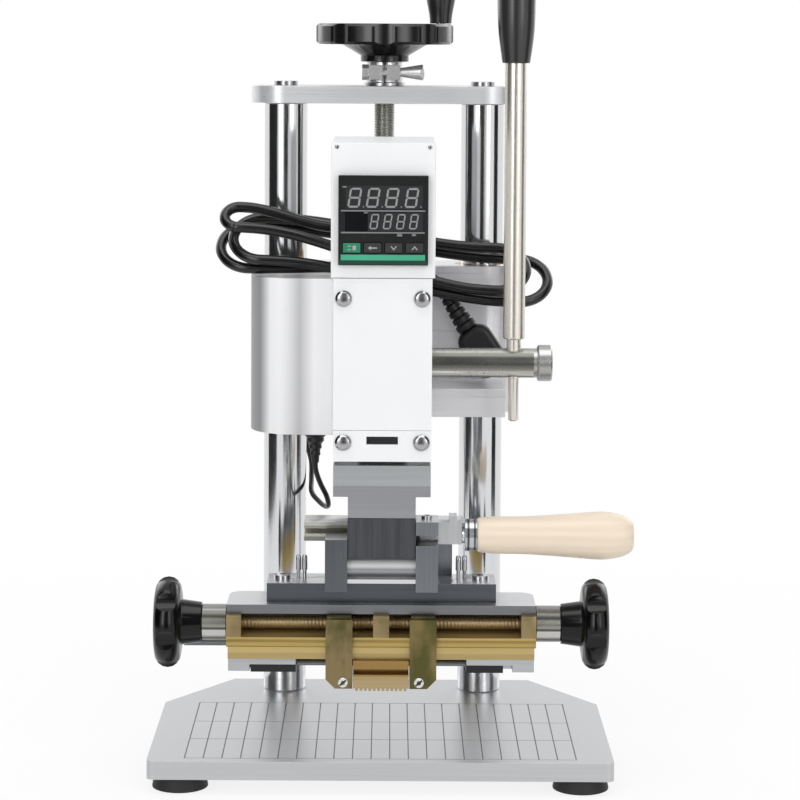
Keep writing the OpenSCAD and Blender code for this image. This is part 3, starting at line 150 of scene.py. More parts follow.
# A procedural material
class Paint:
    def __init__(self, name, colour, roughness, metallic=0.0, **fixed):
        self.material = bpy.data.materials.new(name)
        self.material.use_nodes = True
        self.tree = self.material.node_tree
        self.shader = self.tree.nodes["Principled BSDF"]
        self.colour = tint(colour)
        self.roughness = roughness
        self.set("Base Color", self.colour)
        self.set("Roughness", roughness)
        self.set("Metallic", metallic)
        for socket, value in fixed.items():
            self.set(socket.replace("_", " "), value)

    def set(self, socket, value):
        self.feed(self.shader.inputs[socket], value)

    def feed(self, socket, value):
        if isinstance(value, Wire):
            self.tree.links.new(value.socket, socket)
        else:
            socket.default_value = value

    def node(self, kind, wires, output=0, **settings):
        node = self.tree.nodes.new("ShaderNode" + kind)
        for key, value in settings.items():
            setattr(node, key, value)
        for socket, value in wires.items():
            self.feed(node.inputs[socket], value)
        return Wire(self.tree, node.outputs[output])

    def where(self, stretch=(1, 1, 1)):
        spot = self.node("TexCoord", {}, output=3)
        return self.node("Mapping", {"Vector": spot, "Scale": stretch})

    def noise(self, stretch, size=1.0, detail=3.0, rough=0.5):
        return self.node("TexNoise", {"Vector": self.where(stretch), "Scale": size, "Detail": detail,
                                      "Roughness": rough})

    # Colour that changes along an axis: each band is (axis, its start in mm, its colour, how soft)
    def banded(self, bands):
        for axis, start, code, soft in bands:
            spot = self.node("TexCoord", {}, output=3)
            along = self.node("SeparateXYZ", {0: spot}, output="XYZ".index(axis))
            share = self.node("MapRange", {"Value": along, "From Min": (start - soft) * mm,
                                           "From Max": (start + soft) * mm})
            self.colour = self.node("MixRGB", {"Fac": share, "Color1": self.colour, "Color2": tint(code)})

    # Painted highlight: top faces are painted a lighter colour, as ground top faces catch more light than the
    # sides
    def topped(self, code):
        up = self.node("SeparateXYZ", {0: self.node("NewGeometry", {}, output=1)}, output=2)
        self.colour = self.node("MixRGB", {"Fac": up.above(0.7), "Color1": self.colour, "Color2": tint(code)})

    def shade(self, factor, darkest, lightest):
        level = self.node("MapRange", {"Value": factor, "From Min": 0.3, "From Max": 0.7,
                                       "To Min": darkest, "To Max": lightest})
        colour = self.colour if isinstance(self.colour, Wire) else self.colour[:3]
        scaled = self.node("VectorMath", {0: colour, "Scale": level}, operation="SCALE")
        self.set("Base Color", scaled)

    def vary(self, factor, spread):
        self.set("Roughness", (factor - 0.5) * spread + self.roughness)

    def bump(self, height, depth, strength=1.0):
        self.set("Normal", self.node("Bump", {"Height": height, "Distance": depth, "Strength": strength}))


# Streaks left by a brush, a mill or a lathe along one axis
def streaked(name, colour, roughness, stretch, contrast=0.06, depth=0.00002, metallic=1.0, bands=(), top="",
             patina="", **fixed):
    paint = Paint(name, colour, roughness, metallic, **fixed)
    paint.banded(bands)
    if patina:
        stain = paint.node("MapRange", {"Value": paint.noise((70, 70, 45), 1.0, 3.0), "From Min": 0.42,
                                        "From Max": 0.6})
        paint.colour = paint.node("MixRGB", {"Fac": stain, "Color1": paint.colour, "Color2": tint(patina)})
    if top:
        paint.topped(top)
    streak = paint.noise(stretch, 1.0, 4.0, 0.65)
    cloud = paint.noise((25, 25, 25), 1.0, 2.0)
    paint.shade(streak * 0.75 + cloud * 0.25, 1 - contrast, 1 + contrast)
    paint.vary(streak, 0.16)
    paint.bump(streak, depth, 0.5)
    return paint


# Fine even grain of moulded plastic, rubber or powder paint
def grained(name, colour, roughness, size, depth, contrast=0.04, spread=0.12, **fixed):
    paint = Paint(name, colour, roughness, **fixed)
    grain = paint.noise((size, size, size), 1.0, 3.0)
    cloud = paint.noise((40, 40, 40), 1.0, 2.0)
    paint.shade(cloud, 1 - contrast, 1 + contrast)
    paint.vary(grain * 0.5 + cloud * 0.5, spread)
    paint.bump(grain, depth, 0.6)
    return paint


# Painted shade in the engraved lines that run towards the columns: their floors, which lie below the top
# face, are painted dark
grid = {"perMetre": 100, "halfLine": 0.045, "floor": -0.0001, "level": 0.95, "grooveShade": "#4A4B4C"}


def platePaint():
    paint = Paint("brushed_plate", "#C1C2C4", 0.36, 1.0)
    spot = paint.node("TexCoord", {}, output=3)
    x = paint.node("SeparateXYZ", {0: spot}, output=0)
    z = paint.node("SeparateXYZ", {0: spot}, output=2)
    up = paint.node("SeparateXYZ", {0: paint.node("NewGeometry", {}, output=1)}, output=2)
    near = 1 - ((x * grid["perMetre"]).fraction() - 0.5).absolute().above(grid["halfLine"])
    shadedGrooves = up.above(grid["level"]) * near * (1 - z.above(grid["floor"]))
    paint.colour = paint.node("MixRGB", {"Fac": shadedGrooves, "Color1": paint.colour, "Color2": tint(grid["grooveShade"])})
    streak = paint.noise((8, 900, 900), 1.0, 4.0, 0.65)
    paint.shade(streak, 0.95, 1.05)
    paint.vary(streak, 0.14)
    paint.bump(streak, 0.00002, 0.5)
    return paint


# The satin cover is painted with a dark edge, bright bands and a dull band between them: painted shade and
# highlights, as a rounded sheet shows under two lamps
def coverPaint():
    paint = Paint("silver_cover", "#8E8F91", 0.36, 0.05)
    paint.banded([("X", -67, "#F6F6F7", 3), ("X", -53, "#C2C2C5", 6), ("X", -43, "#FAFAFB", 4)])
    grain = paint.noise((3200, 3200, 3200), 1.0, 3.0)
    paint.shade(grain, 0.985, 1.015)
    paint.vary(grain, 0.08)
    paint.bump(grain, 0.000008, 0.6)
    return paint


def woodPaint():
    paint = Paint("beech", "#E5D5C0", 0.42, Coat_Weight=0.15, Coat_Roughness=0.2)
    long = paint.noise((14, 260, 260), 1.0, 4.0, 0.6)
    rings = paint.node("TexWave", {"Vector": paint.where((6, 70, 70)), "Scale": 1.0, "Distortion": 5.0,
                                   "Detail": 2.0, "Detail Scale": 1.2}, output=1, bands_direction="Z")
    pores = paint.noise((60, 2600, 2600), 1.0, 2.0).above(0.66)
    paint.shade(long * 0.6 + rings * 0.4 - pores * 0.12, 0.965, 1.015)
    paint.vary(long, 0.15)
    paint.bump(long - pores * 0.5, 0.00006, 0.5)
    return paint


# A top colour is a painted highlight on the faces that look up
paints = {
    "plate": platePaint(),
    "top": streaked("brushed_top", "#D4D5D7", 0.3, (8, 700, 900), 0.05, metallic=0.45),
    "carriage": streaked("brushed_carriage", "#E4E4E7", 0.3, (6, 700, 500), 0.04, metallic=0.25,
                         top="#F2F2F4"),
    "chrome": streaked("hard_chrome", "#D9DADC", 0.13, (500, 500, 30), 0.02, 0.000004),
    # Painted reflection and shade bands by height on the polished rods: a dark band low down and a bright top
    "rod": streaked("polished_rod", "#808284", 0.24, (9, 40, 40), 0.02, 0.000004, metallic=0.4,
                    bands=[("Z", 92, "#A3A5A8", 0.3), ("Z", 94.4, "#4A4C4F", 0.6), ("Z", 97, "#94969A", 0.8),
                           ("Z", 99.8, "#E2E3E5", 1)]),
    # Painted reflection and shade: light and dark bands along the handle rod's collar and neck
    "clamp_rod": streaked("clamp_rod", "#DCDEDF", 0.2, (600, 200, 200), 0.03, 0.000006, metallic=0.7,
                          bands=[("X", 44.8, "#B4B6B9", 0.1), ("X", 46.4, "#4E5053", 0.2),
                                 ("X", 47.6, "#BDBFC2", 0.2), ("X", 49.9, "#57595C", 0.2),
                                 ("X", 51, "#A9ABAE", 0.2)]),
    "clamp": streaked("ground_clamp", "#83868A", 0.32, (700, 700, 14), 0.1, metallic=0.8,
                      bands=[("X", 30.6, "#C6C8CA", 0.1)], top="#D3D5D7"),
    "screw": streaked("bright_steel", "#B0B0B3", 0.22, (600, 600, 600), 0.06, 0.00001),
    # Painted highlight: a lighter copy of the bright steel, for the lock collar, lock screw and jaw screw
    # heads
    "bright": streaked("bright_head", "#DADADB", 0.25, (600, 600, 600), 0.04, 0.00001, metallic=0.7),
    "slot": grained("screw_slot_shade", "#1B1A19", 0.5, 900, 0.00001, 0.05, 0.05),
    # Painted reflection and shade bands by height around the knob sleeves
    "sleeve": streaked("turned_sleeve", "#A09F9A", 0.26, (60, 40, 40), 0.04, 0.000002, metallic=0.8,
                       bands=[("Z", 59.3, "#85847E", 0.2), ("Z", 60.4, "#C4C3BE", 0.3),
                              ("Z", 65, "#55544E", 0.3), ("Z", 66.4, "#98978F", 0.5),
                              ("Z", 71.3, "#5F5E59", 0.4), ("Z", 75, "#8F8F8D", 0.3)]),
    "thread": streaked("screw_thread", "#9F9E98", 0.34, (300, 300, 900), 0.12, 0.00001),
    "nickel": streaked("warm_nickel", "#DCD7CE", 0.26, (500, 500, 25), 0.04, 0.000006, metallic=0.85),
    # Painted reflection and shade bands by height along the lever shaft, which is also lighter beyond x 84
    "shaft": streaked("turned_shaft", "#605F5A", 0.28, (60, 40, 40), 0.05, 0.000004, metallic=0.85,
                      bands=[("Z", 198, "#DEDDD8", 0.4), ("Z", 200.8, "#8C8B86", 0.4),
                             ("Z", 202.2, "#6A6A66", 0.5), ("Z", 211, "#B4B4AF", 0.5),
                             ("X", 84, "#A8A8A6", 0.1)]),
    "heater": streaked("heater_aluminium", "#A2A4A8", 0.42, (10, 600, 900), 0.06,
                       bands=[("Z", 144.7, "#B6B9BB", 0.1)]),
    # Painted reflection bands by height on the polished rail: darker at the bottom, lighter above
    "rail": streaked("polished_rail", "#86877F", 0.26, (10, 600, 600), 0.1, metallic=0.75,
                     bands=[("Z", 113, "#C4C2B5", 0.3), ("Z", 117.2, "#A5A59A", 0.2),
                            ("Z", 119, "#D0D1CD", 0.2)]),
    "die": streaked("milled_die", "#585A5E", 0.36, (420, 420, 9), 0.28),
    "bridge": streaked("bridge_steel", "#5A5E63", 0.3, (10, 800, 800), 0.12, top="#D8DADC"),
    "slide": streaked("slide_steel", "#7C7E81", 0.34, (10, 800, 800), 0.08, top="#CBCCCE"),
    "ground_up": streaked("ground_uprights", "#696C70", 0.3, (700, 700, 14), 0.12,
                          bands=[("X", 0, "#808388", 1)], top="#CFD1D3"),
    "strip": streaked("dark_strip", "#29292A", 0.42, (10, 800, 800), 0.12, metallic=0.6),
    "lower": streaked("lower_aluminium", "#B6B8BB", 0.34, (10, 800, 800), 0.06, metallic=0.9),
    "bronze": streaked("bronze", "#B08E58", 0.25, (200, 200, 900), 0.08),
    # Painted highlight and shade bands by height across the slot frame's brass
    "brass": streaked("milled_brass", "#B09B69", 0.32, (9, 700, 900), 0.08, metallic=0.75,
                      bands=[("Z", 54.2, "#C0A971", 0.2), ("Z", 57.6, "#86733F", 0.15),
                             ("Z", 58.2, "#B39B5B", 0.3), ("Z", 60.2, "#97814A", 0.3),
                             ("Z", 61.8, "#BBA364", 0.3), ("Z", 63, "#94825D", 0.2)]),
    # Painted shade: the type holder is darker above z 42.5
    "holder": streaked("type_brass", "#B39E77", 0.34, (9, 700, 900), 0.1,
                       bands=[("Z", 42.5, "#A1824E", 0.2)]),
    "dull": streaked("dull_brass", "#8A7A58", 0.34, (500, 500, 12), 0.06,
                     bands=[("X", 0, "#82744C", 1)], patina="#5E5A36"),
    "copper": streaked("copper_screw", "#A6916C", 0.42, (700, 60, 60), 0.06, metallic=0.7),
    # Painted shade and highlight: the knob and grip paints are darker and lighter copies of the wheel's black
    # bakelite
    "knob": grained("knob_bakelite", "#080809", 0.18, 900, 0.000004, 0.1, 0.05, Specular_IOR_Level=0.3),
    "grip": grained("grip_bakelite", "#29292A", 0.24, 900, 0.000004, 0.1, 0.05, Specular_IOR_Level=0.6),
    "bakelite": grained("black_bakelite", "#121213", 0.2, 900, 0.000004, 0.1, 0.05,
                        Specular_IOR_Level=0.55),
    "white": grained("white_powder", "#E8E9EA", 0.42, 2600, 0.00001, 0.01, 0.06),
    "silver": coverPaint(),
    "plastic": grained("black_plastic", "#101011", 0.42, 2400, 0.00002, 0.08, 0.1),
    "bezel": grained("bezel_plastic", "#141516", 0.36, 2600, 0.000012, 0.05, 0.08, Specular_IOR_Level=0.35),
    "window": grained("display_window", "#161719", 0.1, 600, 0.000001, 0.03, 0.03, Coat_Weight=0.5,
                      Coat_Roughness=0.03),
    "panel": grained("display_panel", "#323335", 0.16, 600, 0.000001, 0.03, 0.03),
    "segment": grained("unlit_segment", "#8E8E8D", 0.3, 900, 0.000001, 0.03, 0.03),
    "line": grained("printed_line", "#77787A", 0.4, 1500, 0.000001, 0.05, 0.05),
    "glyph": grained("printed_glyph", "#9D9C9C", 0.4, 1500, 0.000001, 0.05, 0.05),
    "green": grained("green_plastic", "#1F7D5C", 0.34, 2400, 0.00001, 0.05, 0.08),
    "stripe": grained("green_stripe", "#3FA885", 0.34, 1500, 0.000004, 0.06, 0.05),
    "shade": grained("dark_green_edge", "#0C3F2E", 0.36, 1500, 0.000004, 0.05, 0.05),
    "key": grained("key_plastic", "#2B2A2B", 0.42, 2400, 0.00001, 0.05, 0.08),
    "rubber": grained("foot_rubber", "#121212", 0.6, 1800, 0.00003, 0.08, 0.1),
    "cord": grained("cord_sheath", "#0A0A0B", 0.26, 1500, 0.000006, 0.1, 0.08, Specular_IOR_Level=0.5),
    "wood": woodPaint(),
}
print("materials made")


def finish(piece, node, paint):
    piece.data.materials.clear()
    piece.data.materials.append(paints[paint].material)
    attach(piece, nodeBody[node])
    return piece


def newMesh(name, bm):
    mesh = bpy.data.meshes.new(name)
    bm.normal_update()
    bm.to_mesh(mesh)
    bm.free()
    piece = bpy.data.objects.new(name, mesh)
    bpy.context.scene.collection.objects.link(piece)
    return piece


def soften(piece, width, steps=2, angle=35, limit="ANGLE"):
    mesh = piece.data
    mesh.polygons.foreach_set("use_smooth", [True] * len(mesh.polygons))
    mesh.set_sharp_from_angle(angle=math.radians(angle))
    if width:
        bevel = piece.modifiers.new("edge", "BEVEL")
        bevel.width = width * mm
        bevel.segments = steps
        bevel.limit_method = limit
        bevel.angle_limit = math.radians(angle)
        bevel.harden_normals = True
    return piece


# A CAD node with its edges broken by width, as a file or a tumbler leaves them. Faces smaller than
# smallest (square mm) keep theirs sharp, and so do edges with no face as high as tallest.
edges = {"sharp": 35, "flat": 0.6, "weld": 0.000002}


def dress(node, paint, width, smallest=0.0, steps=2, tallest=0.0):
    bm = bmesh.new()
    bm.from_mesh(frame["nodes"][node].data)
    bmesh.ops.remove_doubles(bm, verts=bm.verts, dist=edges["weld"])
    if not tallest:
        bmesh.ops.dissolve_limit(bm, angle_limit=math.radians(edges["flat"]), verts=bm.verts, edges=bm.edges)
    weight = bm.edges.layers.float.new("bevel_weight_edge")
    for edge in bm.edges:
        sharp = len(edge.link_faces) == 2 and edge.calc_face_angle(0) > math.radians(edges["sharp"])
        broad = all(face.calc_area() >= smallest * mm * mm for face in edge.link_faces)
        heights = [[vert.co.z for vert in face.verts] for face in edge.link_faces]
        high = max((max(zs) - min(zs) for zs in heights), default=0) >= tallest * mm
        edge[weight] = 1.0 if sharp and broad and high else 0.0
    piece = soften(newMesh(node + "_dressed", bm), width, steps, limit="WEIGHT")
    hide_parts(node)
    return finish(piece, node, paint)


# A turned piece: its profile is a list of (distance along the axis, radius)
def turned(name, profile, centre, axis, sides=72):
    bm = bmesh.new()
    along = {"X": Vector((1, 0, 0)), "Y": Vector((0, 1, 0)), "Z": Vector((0, 0, 1))}[axis]
    across = Vector((0, 0, 1)) if axis == "X" else Vector((1, 0, 0))
    other = along.cross(across)
    rings = []
    for distance, radius in profile:
        middle = centre + along * distance * mm
        if radius <= 0:
            rings.append([bm.verts.new(middle)])
            continue
        rings.append([bm.verts.new(middle + radius * mm * (
            across * math.cos(math.tau * k / sides) + other * math.sin(math.tau * k / sides)))
            for k in range(sides)])
    for low, high in zip(rings, rings[1:]):
        for k in range(sides):
            corner = [low[k % len(low)], low[(k + 1) % sides % len(low)],
                      high[(k + 1) % sides % len(high)], high[k % len(high)]]
            corner = list(dict.fromkeys(corner))
            if len(corner) > 2:
                bm.faces.new(corner)
    bmesh.ops.recalc_face_normals(bm, faces=bm.faces)
    return newMesh(name, bm)


# A smooth curve through a few profile points
def smoothProfile(points, steps=6):
    out = []
    for i in range(len(points) - 1):
        before = points[max(i - 1, 0)]
        start, end = points[i], points[i + 1]
        after = points[min(i + 2, len(points) - 1)]
        for k in range(steps):
            t = k / steps
            out.append(tuple(0.5 * (2 * s + (e - b) * t + (2 * b - 5 * s + 4 * e - a) * t ** 2
                                    + (3 * s - b - 3 * e + a) * t ** 3)
                             for b, s, e, a in zip(before, start, end, after)))
    return out + [points[-1]]


# A threaded rod: its radius follows the turn of the helix, in a few rings for each turn
def threaded(name, radius, depth, pitch, start, length, axis, sides=36, rate=6):
    bm = bmesh.new()
    along = {"X": Vector((1, 0, 0)), "Z": Vector((0, 0, 1))}[axis]
    across = Vector((0, 0, 1)) if axis == "X" else Vector((1, 0, 0))
    other = along.cross(across)
    count = max(2, int(length / pitch * rate))
    rings = []
    for i in range(count + 1):
        distance = length * i / count
        ring = []
        for k in range(sides):
            phase = (distance / pitch - k / sides) % 1.0
            wave = min(1.0, max(0.0, abs(phase - 0.5) * 4 - 0.5))
            edge = min(1.0, distance / pitch, (length - distance) / pitch)
            r = (radius - depth * (wave * edge + 1 - edge)) * mm
            angle = math.tau * k / sides
            ring.append(bm.verts.new(start + along * distance * mm
                                     + r * (across * math.cos(angle) + other * math.sin(angle))))
        rings.append(ring)
    for low, high in zip(rings, rings[1:]):
        for k in range(sides):
            bm.faces.new((low[k], low[(k + 1) % sides], high[(k + 1) % sides], high[k]))
    bm.faces.new(rings[0])
    bm.faces.new(rings[-1])
    bmesh.ops.recalc_face_normals(bm, faces=bm.faces)
    return newMesh(name, bm)


# Flat raised shapes, such as printed lines: each is a list of (x, z) corners on the plane at y
def printed(name, shapes, y, thick):
    bm = bmesh.new()
    for corners in shapes:
        front = [bm.verts.new(place(x, y - thick, z)) for x, z in corners]
        back = [bm.verts.new(place(x, y, z)) for x, z in corners]
        bm.faces.new(front)
        bm.faces.new(back)
        for k in range(len(corners)):
            nxt = (k + 1) % len(corners)
            bm.faces.new((front[k], front[nxt], back[nxt], back[k]))
    bmesh.ops.recalc_face_normals(bm, faces=bm.faces)
    return newMesh(name, bm)


def boxShape(x0, z0, x1, z1):
    return [(x0, z0), (x1, z0), (x1, z1), (x0, z1)]


# Mains cord: three folded loops behind the head, and the tail down to the plug
loops = {
    "diameter": 6.2, "fold": 17, "tilt": math.radians(41), "left": 93.6, "right": 94.5,
    "leftShare": (0.97, 0.92, 1), "leftFold": (8.16, 17, 17), "rightShare": (0.865, 1),
    "leftPlace": (-40.9, 275), "leftStep": (5.5, -5.3), "firstLift": 7.4,
    "rightPlace": (-36.9, 253), "rightStep": (5.5, -7),
    "gland": (-2, -31, 246), "bend": 24, "bendSteps": 6, "folds": 16, "runs": 10,
    "tail": [(2, -38, 254.5), (6, -38, 254.5), (11, -38, 254.5), (16.5, -38, 253.8),
             (22, -38, 251.8), (27, -38, 248.6), (30.6, -38, 245), (34, -38, 240.3)],
}


def mainsRoute(s):
    lean = Vector((0, math.cos(s["tilt"]), math.sin(s["tilt"])))
    left = [Vector((s["leftFold"][k] - share * s["left"], s["leftPlace"][0] + k * s["leftStep"][0],
                    s["leftPlace"][1] + k * s["leftStep"][1] + (s["firstLift"] if k == 0 else 0)))
            for k, share in enumerate(s["leftShare"])]
    right = [Vector((share * s["right"] - s["fold"], s["rightPlace"][0] + k * s["rightStep"][0],
                     s["rightPlace"][1] + k * s["rightStep"][1])) for k, share in enumerate(s["rightShare"])]

    def fold(centre, side, radius):
        turns = [math.pi * i / s["folds"] for i in range(s["folds"] + 1)]
        return [centre + radius * (side * math.sin(a) * Vector((1, 0, 0)) - side * math.cos(a) * lean)
                for a in turns]

    def run(a, b):
        shares = [i / s["runs"] for i in range(1, s["runs"])]
        return [Vector((mix(a.x, b.x, t), mix(a.y, b.y, ease(t)), mix(a.z, b.z, ease(t)))) for t in shares]

    gland = Vector(s["gland"])
    rise = Vector((0, 0, s["diameter"]))
    bend = [gland + rise + s["bend"] * Vector((math.cos(a) - 1, 0, math.sin(a)))
            for a in (math.pi / 2 * i / s["bendSteps"] for i in range(s["bendSteps"] + 1))]
    tail = [Vector(p) for p in s["tail"]]
    route = [gland] + bend
    for k in range(3):
        here = fold(left[k], -1, s["leftFold"][k])
        route += run(route[-1], here[0]) + here
        if k < 2:
            there = fold(right[k], 1, s["fold"])
            route += run(route[-1], there[0]) + there
    route += run(route[-1], tail[0])[:-1] + [tail[0] - Vector((s["diameter"], 0, 0))] + tail
    return [place(*p) for p in route]


def cordCurve(name, points, diameter, paint, node, order=4):
    curve = bpy.data.curves.new(name, "CURVE")
    curve.dimensions = "3D"
    spline = curve.splines.new("POLY")
    spline.points.add(len(points) - 1)
    for point, spot in zip(spline.points, points):
        point.co = (*spot, 1)
    curve.bevel_depth = diameter / 2
    curve.bevel_resolution = order
    curve.use_fill_caps = True
    spline.use_smooth = True
    piece = bpy.data.objects.new(name, curve)
    bpy.context.scene.collection.objects.link(piece)
    return finish(piece, node, paint)


def smoothRoute(points, steps=3):
    return [Vector(p) for p in smoothProfile([tuple(p) for p in points], steps)]


mainsPoints = smoothRoute(mainsRoute(loops))
mainsCord = cordCurve("mains_cord", mainsPoints, loops["diameter"] * mm, "cord", "mains_coil")
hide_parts("mains_coil", "mains_tail")

# Thin service lead below the left cover, with its tapered boot
lead = {
    "diameter": 3,
    "route": [(-38.5, -46, 142), (-38, -46, 137), (-35.5, -46, 130), (-32, -44.5, 122.5),
              (-31, -40, 116.5), (-33, -31, 114), (-37, -20, 115), (-41.5, -9, 118.5),
              (-42, 2, 125), (-42.5, 11, 134), (-46, 16.5, 145), (-48, 17, 156), (-48, 17, 167)],
    "boot": [(0, 0), (0, 2), (1, 2.2), (4, 2.4), (4.6, 3), (6, 3), (6.6, 2.8), (8, 3.1), (8.6, 3.7),
             (10, 3.7), (10.6, 3.5), (12, 4.4), (12.6, 5), (14, 5), (14.6, 4.9), (16, 6.2), (18, 6.5),
             (18, 0)],
}
leadPoints = smoothRoute([place(*p) for p in lead["route"]], 5)
leadCord = cordCurve("service_cord", leadPoints, lead["diameter"] * mm, "cord", "service_lead")
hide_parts("service_lead")
leadBoot = turned("service_boot", lead["boot"], place(*lead["route"][0]), "Z", 32)
finish(soften(leadBoot, 0), "service_lead", "plastic")

# Gland on the guide block, and the plug with its ribbed sleeve
dress("strain_relief", "plastic", 0.4)
plug = {
    "tilt": math.radians(34), "body": (31, 21, 14), "round": 8.4, "cornerSteps": 6, "edge": 4,
    "ribs": 6, "sleeve": 26, "low": 3.2, "high": 6.1, "groove": 0.9, "ribSpan": (0.15, 0.75), "ribRise": 0.2,
    "ribStep": 0.2, "ribFoot": 1,
    "blade": (1.6, 16, 6.3), "bladeTurn": math.radians(30), "bladePlace": (5.6, -15, -45),
}


def plugShape(s):
    bm = bmesh.new()
    length, width, thick = s["body"]
    half, deep, r = width / 2, thick / 2, s["round"]
    outline = []
    for cx, cz, first in ((half - r, r, -90), (half - r, length - r, 0), (r - half, length - r, 90),
                          (r - half, r, 180)):
        for i in range(s["cornerSteps"] + 1):
            a = math.radians(first + 90 / s["cornerSteps"] * i)
            outline.append((cx + r * math.cos(a), cz + r * math.sin(a)))
    front = [bm.verts.new((x, -deep, -z - s["sleeve"])) for x, z in outline]
    back = [bm.verts.new((x, deep, -z - s["sleeve"])) for x, z in outline]
    bm.faces.new(front)
    bm.faces.new(back)
    for k in range(len(outline)):
        nxt = (k + 1) % len(outline)
        bm.faces.new((front[k], front[nxt], back[nxt], back[k]))
    bmesh.ops.recalc_face_normals(bm, faces=bm.faces)
    bmesh.ops.scale(bm, vec=(mm, mm, mm), verts=bm.verts)
    return bm


def atPlug(piece):
    end = Vector(loops["tail"][-1])
    piece.data.transform(Matrix.Translation(place(*end)) @ Matrix.Rotation(-plug["tilt"], 4, "Y"))
    return piece


plugBody = atPlug(newMesh("plug_body", plugShape(plug)))
sleeve = [(0, 0), (0, plug["low"])]
for rib in range(plug["ribs"]):
    low, high = (plug["sleeve"] * (rib + share) / plug["ribs"] for share in plug["ribSpan"])
    radius = mix(plug["low"], plug["high"], (rib + 0.5) / plug["ribs"])
    sleeve += [(-low, radius), (-high, radius + plug["ribRise"]),
               (-high - plug["ribStep"], radius - plug["groove"]),
               (-high - plug["ribFoot"], radius - plug["groove"])]
sleeve += [(-plug["sleeve"], plug["high"]), (-plug["sleeve"], 0)]
plugSleeve = atPlug(turned("plug_sleeve", sleeve, Vector((0, 0, 0)), "Z", 32))
bladeBm = bmesh.new()
for side in (-1, 1):
    made = bmesh.ops.create_cube(bladeBm, size=1.0)["verts"]
    out, forward, down = plug["bladePlace"]
    bmesh.ops.scale(bladeBm, vec=[size * mm for size in plug["blade"]], verts=made)
    bmesh.ops.rotate(bladeBm, matrix=Matrix.Rotation(-side * plug["bladeTurn"], 3, "Y"), verts=made)
    bmesh.ops.translate(bladeBm, vec=(side * out * mm, forward * mm, down * mm), verts=made)
plugBlades = atPlug(newMesh("plug_blades", bladeBm))
finish(soften(plugBody, plug["edge"], 3), "mains_plug", "plastic")
finish(soften(plugSleeve, 0), "mains_plug", "plastic")
finish(soften(plugBlades, 0.3), "mains_plug", "screw")
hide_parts("mains_plug")
tuple(place(*loops["gland"]))
print("cords made")

# Frame
basePlate = dress("base_plate", "plate", 1.1, steps=1, tallest=5)
basePlate.data.polygons.foreach_set("use_smooth", [False] * len(basePlate.data.polygons))
basePlate.modifiers["edge"].harden_normals = False
dress("rubber_feet", "rubber", 0.8)
dress("frame_screws", "screw", 0.2)
dress("columns", "chrome", 0.2)
dress("top_plate", "top", 0.7)
dress("screw_bush", "screw", 0.3)
print("frame dressed")

# Lift screw, handwheel and collar
liftScrew = {"radius": 6, "depth": 0.5, "pitch": 1.5, "low": 186, "high": 357,
             "neck": [(0, 0), (0, 5.1), (1, 6), (31, 6), (32.5, 5), (32.5, 0)]}
screwCore = threaded("lift_thread", liftScrew["radius"], liftScrew["depth"], liftScrew["pitch"],
                     place(0, 0, liftScrew["low"]), liftScrew["high"] - liftScrew["low"], "Z", 48)
finish(soften(screwCore, 0), "lift_screw", "thread")
screwNeck = turned("lift_neck", liftScrew["neck"], place(0, 0, liftScrew["high"]), "Z", 48)
finish(soften(screwNeck, 0), "lift_screw", "screw")
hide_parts("lift_screw")
dress("handwheel", "bakelite", 1.0, steps=3)
dress("lock_collar", "bright", 0.4)
dress("lock_screw", "bright", 0.3)
dress("crank_pin", "screw", 0.3)
crank = {"x": 32.6, "low": 393.45, "mouth": [(0.3, 3.2), (0, 3.6), (0, 5.9)],
         "profile": [(0, 6.3), (6, 6.9), (17.7, 9), (31.2, 10), (42.6, 9.9), (49.4, 8.7), (51.6, 7.2)],
         "well": [(52, 6.5), (52, 5.4), (51.6, 5.2), (46, 5.2), (46, 3.2)]}
crankGrip = turned("crank_grip_turned", crank["mouth"] + smoothProfile(crank["profile"]) + crank["well"],
                   place(crank["x"], 0, crank["low"]), "Z")
finish(soften(crankGrip, 0), "crank_grip", "grip")
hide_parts("crank_grip")
print("lift made")

# Carriage and covers
dress("carriage_block", "carriage", 0.8)
dress("bronze_bushes", "bronze", 0.3)
dress("lift_nut", "bronze", 0.5)
dress("left_cover", "silver", 0.35)
dress("power_relay", "plastic", 0.4)
dress("ram_guide", "carriage", 0.4, smallest=4)
dress("head_case", "white", 0.7, smallest=4)
dress("front_cover", "white", 0.4, smallest=4)
dress("machine_screws", "screw", 0.15)
print("carriage dressed")

# Controller face: window, digits, lines and key glyphs, placed by pixels counted across the face
face = {
    "left": -24, "low": 264.25, "front": -144, "size": 48,
    "pixels": 88.0, "pixelLeft": 341, "pixelTop": 176, "lean": 0.16,
    "bigDigits": ((349.5, 364.6), (367.5, 382.6), (386, 401.1), (405.3, 420.4)),
    "bigRows": (188, 207.5), "bigStroke": 1.05,
    "smallDigits": ((371.2, 381.4), (384.2, 394.4), (397, 407.2), (409.8, 420)),
    "smallRows": (213.5, 228.5), "smallStroke": 0.72,
    "points": (365.6, 384, 402.6, 421.8), "pointRow": 206.6, "pointHalf": 0.6,
    "lines": ((343.5, 209.8, 426, 211.2), (343.5, 231.2, 425.5, 232.6), (345, 186.4, 349, 187.8),
              (366, 211.8, 370, 213), (398.5, 233, 403.5, 235.4), (413, 233, 417, 235)),
    "panels": ((348, 186, 423.5, 209), (370, 212, 423.5, 230.6)),
    "stripe": (343.5, 253.5, 426, 259), "edge": (341.8, 259, 428, 263),
    "film": 0.03, "lineFilm": 0.05, "stripeFilm": 0.06, "edgeFilm": 0.04,
}
dress("controller_body", "bezel", 0.35, smallest=3)
dress("display_window", "window", 0.1)


def faceSpot(px, py):
    scale = face["size"] / face["pixels"]
    top = face["low"] + face["size"]
    return (face["left"] + (px - face["pixelLeft"]) * scale, top - (py - face["pixelTop"]) * scale)


def faceBox(x0, y0, x1, y1):
    return boxShape(*faceSpot(x0, y1), *faceSpot(x1, y0))


